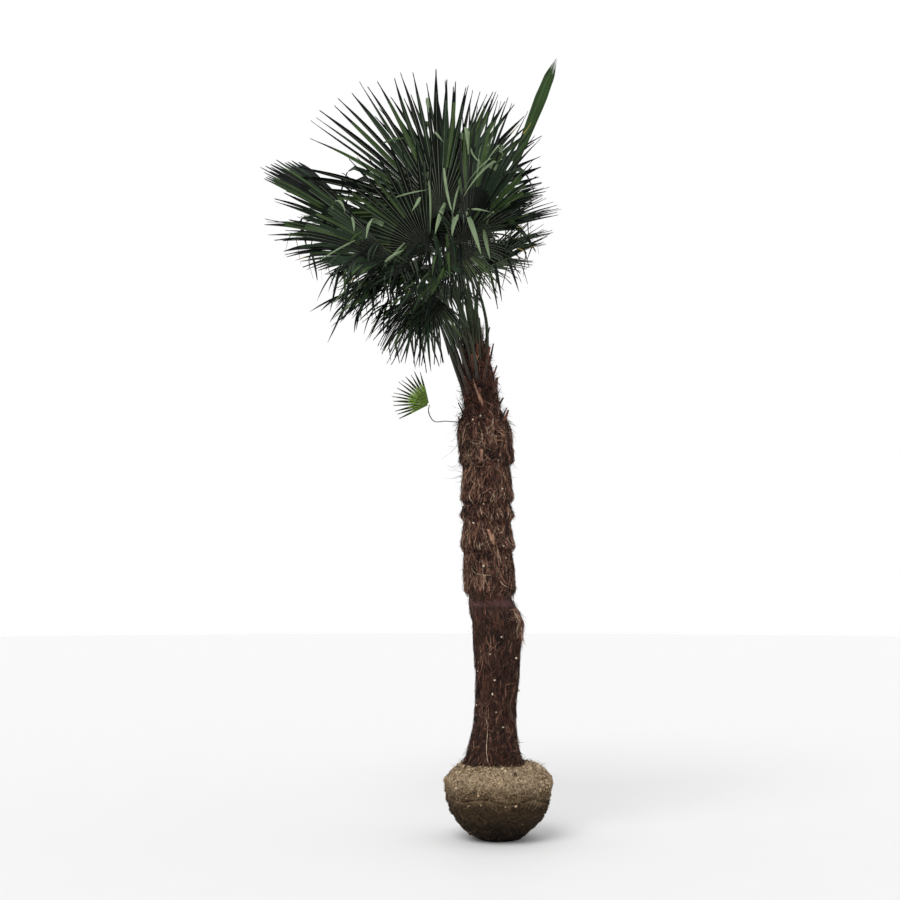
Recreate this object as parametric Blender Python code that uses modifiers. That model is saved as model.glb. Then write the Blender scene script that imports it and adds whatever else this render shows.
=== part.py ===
"""A windmill palm on its root ball, about 5 m tall, as separate solids.

Origin: the middle of the root ball's flat underside. +Z is up, +X is to the right as the
palm is seen from its front, and the front looks towards -Y.
"""

import math
from typing import NamedTuple

import bmesh
import bpy
import numpy as np
from mathutils import Vector, noise
from mathutils.bvhtree import BVHTree

# Root ball: radius and height from its flat underside up to the flat seat of the trunk
BALL_PROFILE = (
    (0.130, 0.0),
    (0.175, 0.030),
    (0.232, 0.080),
    (0.284, 0.145),
    (0.314, 0.210),
    (0.328, 0.285),
    (0.326, 0.350),
    (0.290, 0.405),
    (0.240, 0.440),
)
BALL_SIDES = 28
BALL_LUMP = 0.014
BALL_FINENESS = 7.0

# Trunk: radius of the woody stem with its close fibre, at heights above the ground
TRUNK_STATIONS = (
    (0.4403, 0.184),
    (0.50, 0.160),
    (0.60, 0.138),
    (0.70, 0.124),
    (0.84, 0.119),
    (0.96, 0.127),
    (1.15, 0.137),
    (1.30, 0.150),
    (1.38, 0.150),
    (1.46, 0.138),
    (1.60, 0.143),
    (2.30, 0.142),
    (2.50, 0.156),
    (2.58, 0.150),
    (2.68, 0.100),
    (2.90, 0.084),
    (3.12, 0.050),
)
# Each skirt of hanging fibre: its lower lip, its upper end and how far the lip stands out
SKIRTS = (
    (1.52, 1.76, 0.014),
    (1.79, 1.93, 0.018),
    (1.985, 2.06, 0.020),
    (2.09, 2.30, 0.014),
    (2.335, 2.61, 0.014),
)
# Sideways place of the trunk's middle at heights above the ground
TRUNK_LEAN = (
    (0.44, -0.032),
    (0.60, -0.026),
    (0.84, -0.013),
    (0.98, -0.004),
    (1.15, -0.004),
    (1.32, 0.000),
    (1.46, -0.045),
    (1.60, -0.054),
    (1.90, -0.064),
    (2.20, -0.066),
    (2.40, -0.070),
    (2.60, -0.086),
    (2.90, -0.120),
    (3.12, -0.145),
)
TRUNK_SIDES = 22
TRUNK_RINGS = 36
TRUNK_LUMP = 0.008
TRUNK_FINENESS = 9.0

# Gap that touching solids keep, and the clear space that crossing fronds keep
GAP = 0.0003
CLEARANCE = 0.003

# Stalks: radius at foot and hub, and the feet in tiers round the top of the trunk
STALK_FOOT_RADIUS = 0.011
STALK_HUB_RADIUS = 0.007
STALK_POINTS = 8
# Stalk radii between the trunk and a foot before it is set against the trunk
START_AWAY = 2.5
STALK_NECK = 0.015
FOOT_PULL = 0.35
HUB_PULL = 0.22
FOOT_TIERS = (2.76, 2.85, 2.94, 3.03)
FEET_PER_TIER = 13
# Height of the foot that suits a hub at a height, and how much a wrong tier counts
FOOT_FOR_HUB = ((3.4, 2.76), (4.0, 3.03))
TIER_WEIGHT = 3.0
STEEPEST_LEAN = 0.14
FLATTEST_LEAN = 0.8

# Blades: thickness, distance from hub to the seat of the stalk, depth of the notches
BLADE_THICKNESS = 0.005
BLADE_SEAT = 0.024
# Lean of a blade's inner edge, as a share of its droop
EDGE_LEAN = 0.3
SEAT_HALF_ANGLE = math.radians(30)
NOTCH_SHARE = 0.68
RAY_SPACING = 10.0
# Share of the reach that a ray at the widest turn, in degrees, lacks
SHORT_SIDES = 0.5
WIDEST_TURN = 125.0
SHORTEST_RAY = 0.05
SHORTEN_STEP = 0.03

FRONT = (0.0, -1.0, 0.1)
SKYWARD = (0.0, 0.0, 1.0)


class Frond(NamedTuple):
    """One frond: where its blade starts, where that points, and its size."""

    name: str
    hub: tuple
    climb: float  # degrees from +X towards +Z, in the plane seen from the front
    away: float  # degrees that the middle ray turns from that plane towards +Y
    face: tuple  # the side that the upper face looks to
    reach: float
    spread: float
    fold: float  # degrees that each half is raised out of the flat
    droop: float  # drop of a level tip, as a share of the reach


FRONDS = (
    Frond("01", (-0.365, 0.12, 4.01), 119, 3, (0.15, -1.0, 0.15), 1.05, 200, 4, 0.02),
    Frond("02", (-0.18, 0.05, 3.86), 80, -4, (-0.81, -0.59, 0.0), 0.90, 190, 6, 0.02),
    Frond("03", (-0.30, 0.34, 4.16), 84, 6, FRONT, 0.87, 104, 6, 0.02),
    Frond("04", (-0.68, -0.05, 3.74), 148, -8, (0.40, -0.50, 0.77), 0.94, 48, 4, 0.0),
    Frond("05", (-0.70, -0.25, 3.66), 165, -10, (0.3, -0.75, 0.6), 0.78, 76, 12, 0.03),
    Frond("06", (-0.64, -0.35, 3.57), 178, -22, (0.2, -0.65, 0.7), 0.70, 100, 14, 0.08),
    Frond("07", (-0.44, -0.12, 3.69), 143, -8, (0.1, -1.0, -0.2), 0.75, 112, 8, 0.05),
    Frond("08", (-0.17, -0.02, 3.54), 27, -14, (-0.4, -0.6, 1.0), 0.58, 90, 12, 0.0),
    Frond("09", (-0.13, 0.27, 3.76), 20, 30, (-0.1, -0.3, 1.0), 0.56, 100, 20, 0.04),
    Frond("10", (-0.41, -0.28, 3.36), 267, -30, (-0.3, -0.6, 0.7), 0.58, 80, 10, 0.06),
    Frond("11", (-0.50, -0.03, 3.42), 247, -5, (-0.3, -0.6, 0.7), 0.44, 110, 10, 0.10),
    Frond("12", (-0.62, -0.14, 3.52), 200, -12, (-0.2, -0.4, 1.0), 0.49, 120, 12, 0.45),
    Frond("13", (-0.60, 0.16, 3.60), 186, 24, (0.0, -0.3, 1.0), 0.52, 120, 12, 0.20),
    Frond("14", (-0.29, -0.30, 3.70), 322, -14, FRONT, 0.50, 150, 8, 0.04),
    Frond("15", (-0.42, -0.27, 3.53), 220, -60, SKYWARD, 0.50, 120, 8, 0.30),
    Frond("16", (-0.22, -0.10, 3.75), 12, -42, (0.2, -0.4, 1.0), 0.62, 140, 15, 0.05),
    Frond("17", (-0.48, -0.40, 3.50), 205, -46, (0.0, 0.3, 0.9), 0.50, 130, 10, 0.15),
    Frond("18", (-0.50, 0.46, 3.84), 150, 35, (0.0, 0.2, 1.0), 0.74, 180, 12, 0.08),
    Frond("19", (-0.20, 0.46, 4.02), 66, 50, (0.0, 0.2, 1.0), 0.72, 190, 12, 0.10),
    Frond("20", (-0.12, 0.36, 3.92), 44, 24, (-0.3, -0.8, 0.4), 0.62, 90, 12, 0.04),
    Frond("21", (-0.54, 0.42, 3.74), 182, 42, SKYWARD, 0.61, 180, 12, 0.20),
    Frond("22", (-0.36, 0.46, 3.62), 224, 66, SKYWARD, 0.50, 130, 12, 0.20),
    Frond("23", (-0.29, 0.64, 3.88), 95, 72, SKYWARD, 0.70, 200, 12, 0.15),
    Frond("24", (-0.64, 0.27, 3.83), 160, 16, (0.0, -0.2, 1.0), 0.70, 110, 20, 0.05),
    Frond("25", (-0.36, 0.24, 3.80), 110, 16, FRONT, 0.80, 190, 8, 0.05),
    Frond("26", (-0.20, 0.54, 3.74), 40, 72, SKYWARD, 0.58, 180, 12, 0.15),
)

# Low young frond on its thin level stalk
LOW_FROND = Frond("low", (-0.43, -0.25, 2.67), 156, -8, FRONT, 0.24, 105, 8, 0.03)
LOW_FOOT_HEIGHT = 2.585
LOW_FOOT_TURN = math.radians(205)
LOW_STALK_RADIUS = 0.004
LOW_SEAT = 0.012

# Unopened spear leaf: its stalk's foot is on the trunk's top
SPEAR_SEAT = (0.09, 0.03, 4.22)
SPEAR_TIP = (0.413, 0.05, 5.06)
SPEAR_STALK_RADIUS = 0.009
SPEAR_HALF_WIDTH = 0.044
SPEAR_HALF_DEPTH = 0.012
# Share of its widest that the spear has at shares of its length
SPEAR_SWELL = (
    (0.0, 0.30),
    (0.3, 0.72),
    (0.66, 1.0),
    (0.84, 0.80),
    (1.0, 0.06),
)
SPEAR_STRAIGHT = 0.05
SPEAR_PULL = 0.3
SPEAR_RINGS = 10
SPEAR_SIDES = 8

EARTH = ("root_ball_earth", (0.165, 0.118, 0.070), 0.95)
FIBRE = ("trunk_fibre", (0.060, 0.032, 0.020), 0.92)
STALK_GREEN = ("stalk_green", (0.045, 0.075, 0.028), 0.50)
LEAF_GREEN = ("leaf_green", (0.022, 0.048, 0.022), 0.45)
YOUNG_GREEN = ("young_leaf_green", (0.070, 0.140, 0.030), 0.45)


def empty_scene():
    """Remove every object of the scene."""
    for obj in list(bpy.data.objects):
        bpy.data.objects.remove(obj, do_unlink=True)


def finish(name, colour, roughness):
    """A plain material, made once."""
    material = bpy.data.materials.get(name)
    if material is None:
        material = bpy.data.materials.new(name)
        material.use_nodes = True
        shader = material.node_tree.nodes["Principled BSDF"]
        shader.inputs["Base Color"].default_value = (*colour, 1.0)
        shader.inputs["Roughness"].default_value = roughness
        shader.inputs["Metallic"].default_value = 0.0
    return material


def add_object(name, data, surface):
    """Put a mesh or curve in the palm's collection under its name, with its material."""
    data.materials.append(finish(*surface))
    obj = bpy.data.objects.new(name, data)
    bpy.data.collections["windmill_palm"].objects.link(obj)
    return obj


def mesh_object(name, shape, surface):
    """Turn a bmesh into a named object."""
    data = bpy.data.meshes.new(name)
    shape.to_mesh(data)
    shape.free()
    return add_object(name, data, surface)


def between(stations, place):
    """Value at a place, read along the straight lines between stations."""
    places, values = zip(*stations)
    return float(np.interp(place, places, values))


def turned_shape(profile, sides):
    """A closed shape of revolution with flat ends, from (radius, height) pairs."""
    shape = bmesh.new()
    line = [shape.verts.new((radius, 0.0, height)) for radius, height in profile]
    edges = [shape.edges.new(pair) for pair in zip(line, line[1:])]
    bmesh.ops.spin(
        shape,
        geom=line + edges,
        cent=(0.0, 0.0, 0.0),
        axis=(0.0, 0.0, 1.0),
        angle=math.tau,
        steps=sides,
        use_merge=True,
    )
    bmesh.ops.holes_fill(shape, edges=shape.edges, sides=0)
    bmesh.ops.recalc_face_normals(shape, faces=shape.faces)
    return shape


def roughen(shape, lump, fineness):
    """Push the sides of an upright turned shape in and out, and leave its heights alone."""
    for vert in shape.verts:
        outward = Vector((vert.co.x, vert.co.y, 0.0)).normalized()
        vert.co += outward * lump * noise.noise(vert.co * fineness)


def make_root_ball():
    """The lumpy ball of earth, flat underneath and where the trunk stands."""
    shape = turned_shape(BALL_PROFILE, BALL_SIDES)
    roughen(shape, BALL_LUMP, BALL_FINENESS)
    return mesh_object("root_ball", shape, EARTH)


def trunk_radius(height):
    """Radius of the trunk with its fibre skirts."""
    radius = between(TRUNK_STATIONS, height)
    for lip, upper, flare in SKIRTS:
        if lip <= height < upper:
            radius += flare * (1.0 - (height - lip) / (upper - lip))
    return radius


def make_trunk():
    """The whole stem in one piece, from its flat foot to its top among the stalks."""
    foot = TRUNK_STATIONS[0][0]
    top = TRUNK_STATIONS[-1][0]
    heights = np.linspace(foot, top, TRUNK_RINGS)
    shape = turned_shape([(trunk_radius(height), height) for height in heights], TRUNK_SIDES)
    roughen(shape, TRUNK_LUMP, TRUNK_FINENESS)
    for vert in shape.verts:
        vert.co.x += between(TRUNK_LEAN, vert.co.z)
    return mesh_object("trunk", shape, FIBRE)


def frond_axes(frond):
    """Middle ray, side and upper-face directions of a frond's blade."""
    climb = math.radians(frond.climb)
    away = math.radians(frond.away)
    middle = Vector(
        (
            math.cos(climb) * math.cos(away),
            math.sin(away),
            math.sin(climb) * math.cos(away),
        )
    )
    wanted = Vector(frond.face)
    upper = (wanted - middle * wanted.dot(middle)).normalized()
    side = upper.cross(middle)
    return middle, side, upper


def blade_point(frond, angle, distance):
    """Point of a blade at an angle from its middle ray and a distance from its hub."""
    middle, side, upper = frond_axes(frond)
    fold = math.radians(frond.fold)
    ray = middle * math.cos(angle) + side * math.sin(angle) * math.cos(fold)
    ray += upper * abs(math.sin(angle)) * math.sin(fold)
    level = math.hypot(ray.x, ray.y)
    beyond = max(0.0, distance - BLADE_SEAT)
    drop = frond.droop * level * beyond**2 / frond.reach
    return Vector(frond.hub) + ray * distance - Vector((0.0, 0.0, drop))


def ray_count(frond):
    """Number of steps from one outermost ray to the other, so that a tip is in the middle."""
    return 4 * round(frond.spread / (4 * RAY_SPACING))


def ray_angle(frond, ray):
    """Angle of a ray from the middle one, in radians."""
    return math.radians(frond.spread) * (ray / ray_count(frond) - 0.5)


def full_rays(frond):
    """Length of each ray before any is shortened: tips and notches in turn."""
    lengths = []
    for ray in range(ray_count(frond) + 1):
        turn = math.degrees(abs(ray_angle(frond, ray))) / WIDEST_TURN
        length = frond.reach * (1.0 - SHORT_SIDES * turn**2)
        lengths.append(length if ray % 2 == 0 else length * NOTCH_SHARE)
    return lengths


def blade_start(angle, seat):
    """Distance from hub to the blade's inner edge, which is straight before the stalk."""
    return seat / max(math.cos(angle), math.cos(SEAT_HALF_ANGLE))


def shape_blade(data, frond, lengths, seat):
    """Move the points of a flat grid to the frond's fan, ray by ray."""
    rays = data.attributes["ray"].data
    shares = data.attributes["share"].data
    for vert, ray, share in zip(data.vertices, rays, shares):
        angle = ray_angle(frond, ray.value)
        start = blade_start(angle, seat)
        distance = start + share.value * (lengths[ray.value] - start)
        vert.co = blade_point(frond, angle, distance)
    data.update()


def blade_object(frond, lengths, seat, surface):
    """A thin fan with pointed tips, as a grid that is bent into shape and thickened."""
    rays = ray_count(frond)
    shape = bmesh.new()
    bmesh.ops.create_grid(shape, x_segments=rays, y_segments=2, size=0.5)
    ray_of = shape.verts.layers.int.new("ray")
    share_of = shape.verts.layers.float.new("share")
    for vert in shape.verts:
        vert[ray_of] = round((vert.co.x + 0.5) * rays)
        vert[share_of] = vert.co.y + 0.5
    blade = mesh_object(f"blade_{frond.name}", shape, surface)
    shape_blade(blade.data, frond, lengths, seat)
    wall = blade.modifiers.new("thickness", "SOLIDIFY")
    wall.thickness = BLADE_THICKNESS
    wall.offset = 0.0
    return blade


def as_bmesh(obj):
    """The object as its modifiers leave it."""
    bpy.context.view_layer.update()
    seen = obj.evaluated_get(bpy.context.evaluated_depsgraph_get())
    data = bpy.data.meshes.new_from_object(seen)
    shape = bmesh.new()
    shape.from_mesh(data)
    shape.faces.ensure_lookup_table()
    bpy.data.meshes.remove(data)
    return shape


def tree_of(obj):
    """Search tree over the object's faces."""
    shape = as_bmesh(obj)
    tree = BVHTree.FromBMesh(shape)
    shape.free()
    return tree


def struck_rays(frond, blade, placed, own_stalk):
    """Rays of a blade that strike what is placed, or its own stalk other than at its seat."""
    shape = as_bmesh(blade)
    ray_of = shape.verts.layers.int["ray"]
    share_of = shape.verts.layers.float["share"]
    tree = BVHTree.FromBMesh(shape)
    struck = set()
    for other in placed:
        for face, _ in tree.overlap(other):
            struck.update(vert[ray_of] for vert in shape.faces[face].verts)
    for face, _ in tree.overlap(own_stalk):
        verts = shape.faces[face].verts
        beside = min(abs(ray_angle(frond, vert[ray_of])) for vert in verts) > SEAT_HALF_ANGLE
        beyond = min(vert[share_of] for vert in verts) > 0.0
        if beside or beyond:
            struck.update(vert[ray_of] for vert in verts)
    shape.free()
    return struck


def settle_blade(frond, seat, surface, placed, own_stalk):
    """Make a blade and draw in the rays that would cross what is already there."""
    lengths = full_rays(frond)
    blade = blade_object(frond, lengths, seat, surface)
    wall = blade.modifiers["thickness"]
    wall.thickness = BLADE_THICKNESS + CLEARANCE
    struck = struck_rays(frond, blade, placed, own_stalk)
    while struck:
        drawn = [ray for ray in struck if lengths[ray] > SHORTEST_RAY]
        if not drawn:
            raise RuntimeError(f"blade {frond.name} has no room at its hub")
        for ray in drawn:
            lengths[ray] = max(SHORTEST_RAY, lengths[ray] - SHORTEN_STEP)
        shape_blade(blade.data, frond, lengths, seat)
        struck = struck_rays(frond, blade, placed, own_stalk)
    placed.append(tree_of(blade))
    wall.thickness = BLADE_THICKNESS
    return blade


def smooth_points(bend, count):
    """Points along the curve that the four corners of a bend pull out."""
    start, first, last, end = bend
    points = []
    for share in np.linspace(0.0, 1.0, count):
        rest = 1.0 - share
        point = start * rest**3 + first * (3 * rest**2 * share)
        points.append(point + last * (3 * rest * share**2) + end * share**3)
    return points


def stalk_path(foot, outward, hub, middle, seat_gap):
    """Points of a stalk that leaves the trunk steeply and comes to its hub along the blade."""
    lean = (hub - foot).normalized().dot(outward)
    lean = min(FLATTEST_LEAN, max(STEEPEST_LEAN, lean))
    rise = Vector((0.0, 0.0, math.sqrt(1.0 - lean**2))) + outward * lean
    end = hub + middle * seat_gap
    neck = end - middle * STALK_NECK
    span = (neck - foot).length
    bend = (foot, foot + rise * span * FOOT_PULL, neck - middle * span * HUB_PULL, neck)
    return smooth_points(bend, STALK_POINTS - 1) + [end]


def stalk_object(name, points, foot_radius, hub_radius, surface):
    """A round tapering stalk along its points, closed at both ends."""
    data = bpy.data.curves.new(name, "CURVE")
    data.dimensions = "3D"
    data.bevel_depth = 1.0
    data.bevel_resolution = 1
    data.use_fill_caps = True
    line = data.splines.new("POLY")
    line.points.add(len(points) - 1)
    for index, point in enumerate(points):
        line.points[index].co = (*point, 1.0)
        share = index / (len(points) - 1)
        line.points[index].radius = foot_radius + share * (hub_radius - foot_radius)
    return add_object(name, data, surface)


def move_stalk(stalk, points):
    """Move a stalk to new points."""
    line = stalk.data.splines[0]
    for index, point in enumerate(points):
        line.points[index].co = (*point, 1.0)


def foot_slack(stalk, trunk_tree):
    """Distance from the stalk to the trunk's skin."""
    shape = as_bmesh(stalk)
    slack = min(trunk_tree.find_nearest(vert.co)[3] for vert in shape.verts)
    shape.free()
    return slack


def seat_distance(frond, seat):
    """Distance from hub to a stalk's end, just clear of the blade's straight inner edge.

    A drooping blade's inner edge leans, so the stalk stops a little sooner.
    """
    return seat - GAP - EDGE_LEAN * frond.droop * BLADE_THICKNESS


def feet():
    """Every place where a stalk may leave the trunk, as (height, turn) pairs."""
    places = []
    for tier, height in enumerate(FOOT_TIERS):
        for step in range(FEET_PER_TIER):
            turn = math.tau * (step + 0.5 * (tier % 2)) / FEET_PER_TIER
            places.append((height, turn))
    return places


def trunk_middle(height):
    """Middle of the trunk at a height."""
    return Vector((between(TRUNK_LEAN, height), 0.0, height))


def foot_cost(place, hub):
    """How badly a foot suits a hub: the angle between them, and a low foot for a low hub."""
    height, turn = place
    way = hub - trunk_middle(height)
    apart = abs((turn - math.atan2(way.y, way.x) + math.pi) % math.tau - math.pi)
    wanted = between(FOOT_FOR_HUB, hub.z)
    return apart + TIER_WEIGHT * abs(height - wanted)


def seat_stalk(name, frond, place, seat, radii, trunk_tree):
    """A stalk from a foot on the trunk's side, set against the trunk with a hair's gap."""
    height, turn = place
    outward = Vector((math.cos(turn), math.sin(turn), 0.0))
    hub = Vector(frond.hub)
    middle = frond_axes(frond)[0]
    away = trunk_radius(height) + START_AWAY * radii[0]
    foot = trunk_middle(height) + outward * away
    path = stalk_path(foot, outward, hub, middle, seat_distance(frond, seat))
    stalk = stalk_object(name, path, *radii, STALK_GREEN)
    slack = foot_slack(stalk, trunk_tree)
    foot -= outward * (slack - GAP)
    move_stalk(stalk, stalk_path(foot, outward, hub, middle, seat_distance(frond, seat)))
    return stalk


def settle_stalk(frond, free_feet, placed, trunk_tree):
    """Give a frond the best foot from which its stalk clears the stalks already there."""
    hub = Vector(frond.hub)
    radii = (STALK_FOOT_RADIUS, STALK_HUB_RADIUS)
    for place in sorted(free_feet, key=lambda foot: foot_cost(foot, hub)):
        name = f"stalk_{frond.name}"
        stalk = seat_stalk(name, frond, place, BLADE_SEAT, radii, trunk_tree)
        tree = swollen_tree(stalk)
        crossed = any(tree.overlap(other) for other in placed)
        if not crossed and not tree_of(stalk).overlap(trunk_tree):
            free_feet.remove(place)
            return tree
        data = stalk.data
        bpy.data.objects.remove(stalk)
        bpy.data.curves.remove(data)
    raise RuntimeError(f"stalk {frond.name} has no clear way to the trunk")


def swollen_tree(stalk):
    """Search tree over a stalk that is thicker by the clear space that it keeps."""
    line = stalk.data.splines[0]
    radii = [point.radius for point in line.points]
    for point in line.points:
        point.radius += CLEARANCE
    tree = tree_of(stalk)
    for point, radius in zip(line.points, radii):
        point.radius = radius
    return tree


def make_spear():
    """The folded young leaf and the straight stalk that carries it from the trunk's top."""
    seat = Vector(SPEAR_SEAT)
    tip = Vector(SPEAR_TIP)
    top = TRUNK_STATIONS[-1][0]
    foot = trunk_middle(top) + Vector((0.0, 0.0, GAP))
    upright = foot + Vector((0.0, 0.0, SPEAR_STRAIGHT))
    along = (tip - seat).normalized()
    neck = seat - along * STALK_NECK
    pull = SPEAR_PULL * (neck - upright).length
    bend = (upright, upright + Vector((0.0, 0.0, pull)), neck - along * pull, neck)
    path = [foot, *smooth_points(bend, STALK_POINTS - 2), seat]
    stalk = stalk_object("stalk_spear", path, SPEAR_STALK_RADIUS, SPEAR_STALK_RADIUS, STALK_GREEN)
    profile = []
    for share in np.linspace(0.0, 1.0, SPEAR_RINGS):
        profile.append((between(SPEAR_SWELL, share), share * (tip - seat).length))
    shape = turned_shape(profile, SPEAR_SIDES)
    wide = along.cross(Vector(FRONT)).normalized()
    deep = along.cross(wide)
    for vert in shape.verts:
        flat = wide * (vert.co.x * SPEAR_HALF_WIDTH) + deep * (vert.co.y * SPEAR_HALF_DEPTH)
        vert.co = seat + flat + along * (vert.co.z + GAP)
    bmesh.ops.recalc_face_normals(shape, faces=shape.faces)
    blade = mesh_object("blade_spear", shape, YOUNG_GREEN)
    return stalk, blade


def make_low_frond(trunk_tree, placed):
    """The small bright frond that stands out below the others."""
    outward = Vector((math.cos(LOW_FOOT_TURN), math.sin(LOW_FOOT_TURN), 0.0))
    away = trunk_radius(LOW_FOOT_HEIGHT) + START_AWAY * LOW_STALK_RADIUS
    hub = Vector(LOW_FROND.hub)
    middle = frond_axes(LOW_FROND)[0]
    end = hub + middle * seat_distance(LOW_FROND, LOW_SEAT)
    foot = trunk_middle(LOW_FOOT_HEIGHT) + outward * away
    neck = end - middle * LOW_SEAT
    bend = Vector((hub.x, neck.y, LOW_FOOT_HEIGHT - 0.01))

    def path():
        """Level out from the trunk, round a short bend and up to the blade."""
        level = [foot, foot.lerp(bend, 0.5), foot.lerp(bend, 0.9)]
        return level + [bend.lerp(neck, 0.3), neck, end]

    stalk = stalk_object("stalk_low", path(), LOW_STALK_RADIUS, LOW_STALK_RADIUS, STALK_GREEN)
    foot -= outward * (foot_slack(stalk, trunk_tree) - GAP)
    move_stalk(stalk, path())
    settle_blade(LOW_FROND, LOW_SEAT, YOUNG_GREEN, placed, tree_of(stalk))


def build():
    """Make every piece of the palm."""
    empty_scene()
    group = bpy.data.collections.new("windmill_palm")
    bpy.context.scene.collection.children.link(group)
    make_root_ball()
    trunk = make_trunk()
    trunk_tree = tree_of(trunk)
    spear_stalk, spear_blade = make_spear()
    stalk_trees = {"spear": swollen_tree(spear_stalk)}
    placed = [tree_of(spear_blade), stalk_trees["spear"]]
    free_feet = feet()
    for frond in sorted(FRONDS, key=lambda frond: frond.hub[2]):
        tree = settle_stalk(frond, free_feet, placed, trunk_tree)
        stalk_trees[frond.name] = tree
        placed.append(tree)
    blades = [trunk_tree, tree_of(spear_blade)]
    for frond in FRONDS:
        others = [tree for name, tree in stalk_trees.items() if name != frond.name]
        mixed = others + blades
        settle_blade(frond, BLADE_SEAT, LEAF_GREEN, mixed, stalk_trees[frond.name])
        blades.append(mixed[-1])
    make_low_frond(trunk_tree, blades + list(stalk_trees.values()))


build()
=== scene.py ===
"""Looks of a windmill palm on its root ball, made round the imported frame.

Everything is in metres in the frame's own axes: +Z up, the front looks towards -Y, and the
origin is the middle of the root ball's underside.
"""

import math
from typing import NamedTuple

import bmesh
import bpy
import numpy as np
from bpy.props import FloatProperty, FloatVectorProperty, IntProperty, PointerProperty
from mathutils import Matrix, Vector, noise
from mathutils.bvhtree import BVHTree


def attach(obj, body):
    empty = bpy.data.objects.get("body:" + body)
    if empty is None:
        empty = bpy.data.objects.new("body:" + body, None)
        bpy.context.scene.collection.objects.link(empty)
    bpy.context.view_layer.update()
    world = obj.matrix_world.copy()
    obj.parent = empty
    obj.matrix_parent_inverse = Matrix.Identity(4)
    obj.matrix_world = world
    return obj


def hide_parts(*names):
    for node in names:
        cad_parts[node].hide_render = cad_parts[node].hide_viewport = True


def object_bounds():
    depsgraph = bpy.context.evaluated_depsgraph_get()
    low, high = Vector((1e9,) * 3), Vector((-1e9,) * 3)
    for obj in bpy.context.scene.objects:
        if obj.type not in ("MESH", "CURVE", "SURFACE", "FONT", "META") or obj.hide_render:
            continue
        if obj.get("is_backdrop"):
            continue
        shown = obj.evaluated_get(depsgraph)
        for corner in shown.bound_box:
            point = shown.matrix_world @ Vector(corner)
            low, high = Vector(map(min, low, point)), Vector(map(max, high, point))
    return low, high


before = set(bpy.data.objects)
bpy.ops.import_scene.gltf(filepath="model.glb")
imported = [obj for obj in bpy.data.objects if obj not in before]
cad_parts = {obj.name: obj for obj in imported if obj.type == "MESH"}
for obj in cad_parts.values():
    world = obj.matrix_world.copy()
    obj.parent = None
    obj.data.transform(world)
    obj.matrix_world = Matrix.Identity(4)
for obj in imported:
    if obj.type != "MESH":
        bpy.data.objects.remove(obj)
CAD_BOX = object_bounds()

bl_info = {
    "name": "Windmill Palm",
    "version": (1, 0, 0),
    "blender": (4, 5, 0),
    "location": "3D View > Sidebar > Palm",
    "description": "Fronds, trunk, fibre and root ball of a windmill palm",
    "category": "Add Mesh",
}

# Root ball: radius and height of its side, from the flat underside to the trunk's seat
BALL_PROFILE = (
    (0.130, 0.0),
    (0.175, 0.030),
    (0.232, 0.080),
    (0.284, 0.145),
    (0.314, 0.210),
    (0.328, 0.285),
    (0.326, 0.350),
    (0.290, 0.405),
    (0.240, 0.440),
)
BALL_TOP = BALL_PROFILE[-1][1]
BALL_LUMP = 0.014
BALL_FINENESS = 7.0
BALL_SIDES = 200
BALL_RINGS = 110
# Height of the dark crack that runs round the ball, and how far it wanders
CRACK_HEIGHT = 0.26
CRACK_WANDER = 0.030
CRACK_HALF = 0.006

# Trunk: radius with its close fibre, at heights above the ground
TRUNK_STATIONS = (
    (0.4403, 0.184),
    (0.50, 0.160),
    (0.60, 0.138),
    (0.70, 0.124),
    (0.84, 0.119),
    (0.96, 0.127),
    (1.15, 0.137),
    (1.30, 0.150),
    (1.38, 0.150),
    (1.46, 0.138),
    (1.60, 0.143),
    (2.30, 0.142),
    (2.50, 0.156),
    (2.58, 0.150),
    (2.68, 0.100),
    (2.90, 0.084),
    (3.12, 0.050),
)
TRUNK_FOOT = TRUNK_STATIONS[0][0]
TRUNK_TOP = TRUNK_STATIONS[-1][0]
TRUNK_LUMP = 0.008
TRUNK_FINENESS = 9.0
TRUNK_SIDES = 144
TRUNK_RINGS = 330
# Each skirt of hanging fibre: its lower lip, its upper end and how far the lip stands out
SKIRTS = (
    (1.52, 1.76, 0.014),
    (1.79, 1.93, 0.018),
    (1.985, 2.06, 0.020),
    (2.09, 2.30, 0.014),
    (2.335, 2.61, 0.014),
)
# Sideways place of the trunk's middle at heights above the ground
TRUNK_LEAN = (
    (0.44, -0.032),
    (0.60, -0.026),
    (0.84, -0.013),
    (0.98, -0.004),
    (1.15, -0.004),
    (1.32, 0.000),
    (1.46, -0.045),
    (1.60, -0.054),
    (1.90, -0.064),
    (2.20, -0.066),
    (2.40, -0.070),
    (2.60, -0.086),
    (2.90, -0.120),
    (3.12, -0.145),
)
# Bare band of skin at the waist, where little fibre hangs
WAIST_LOW = 1.425
WAIST_HIGH = 1.465

# Stalks and blades, as the frame has them
STALK_SIDES = 6
STALK_FOOT_RADIUS = 0.011
STALK_HUB_RADIUS = 0.0055
BLADE_SEAT = 0.024
SHORT_SIDES = 0.5
WIDEST_TURN = math.radians(125)

FRONT = (0.0, -1.0, 0.1)
SKYWARD = (0.0, 0.0, 1.0)
UP = np.array(SKYWARD)
DOWN = -UP


class Frond(NamedTuple):
    """One frond: where its blade starts, where that points, and its size."""

    name: str
    hub: tuple
    climb: float  # degrees from +X towards +Z, in the plane seen from the front
    away: float  # degrees that the middle ray turns from that plane towards +Y
    face: tuple  # the side that the upper face looks to
    reach: float
    spread: float
    fold: float  # degrees that each half is raised out of the flat
    droop: float  # drop of a level tip, as a share of the reach


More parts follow.
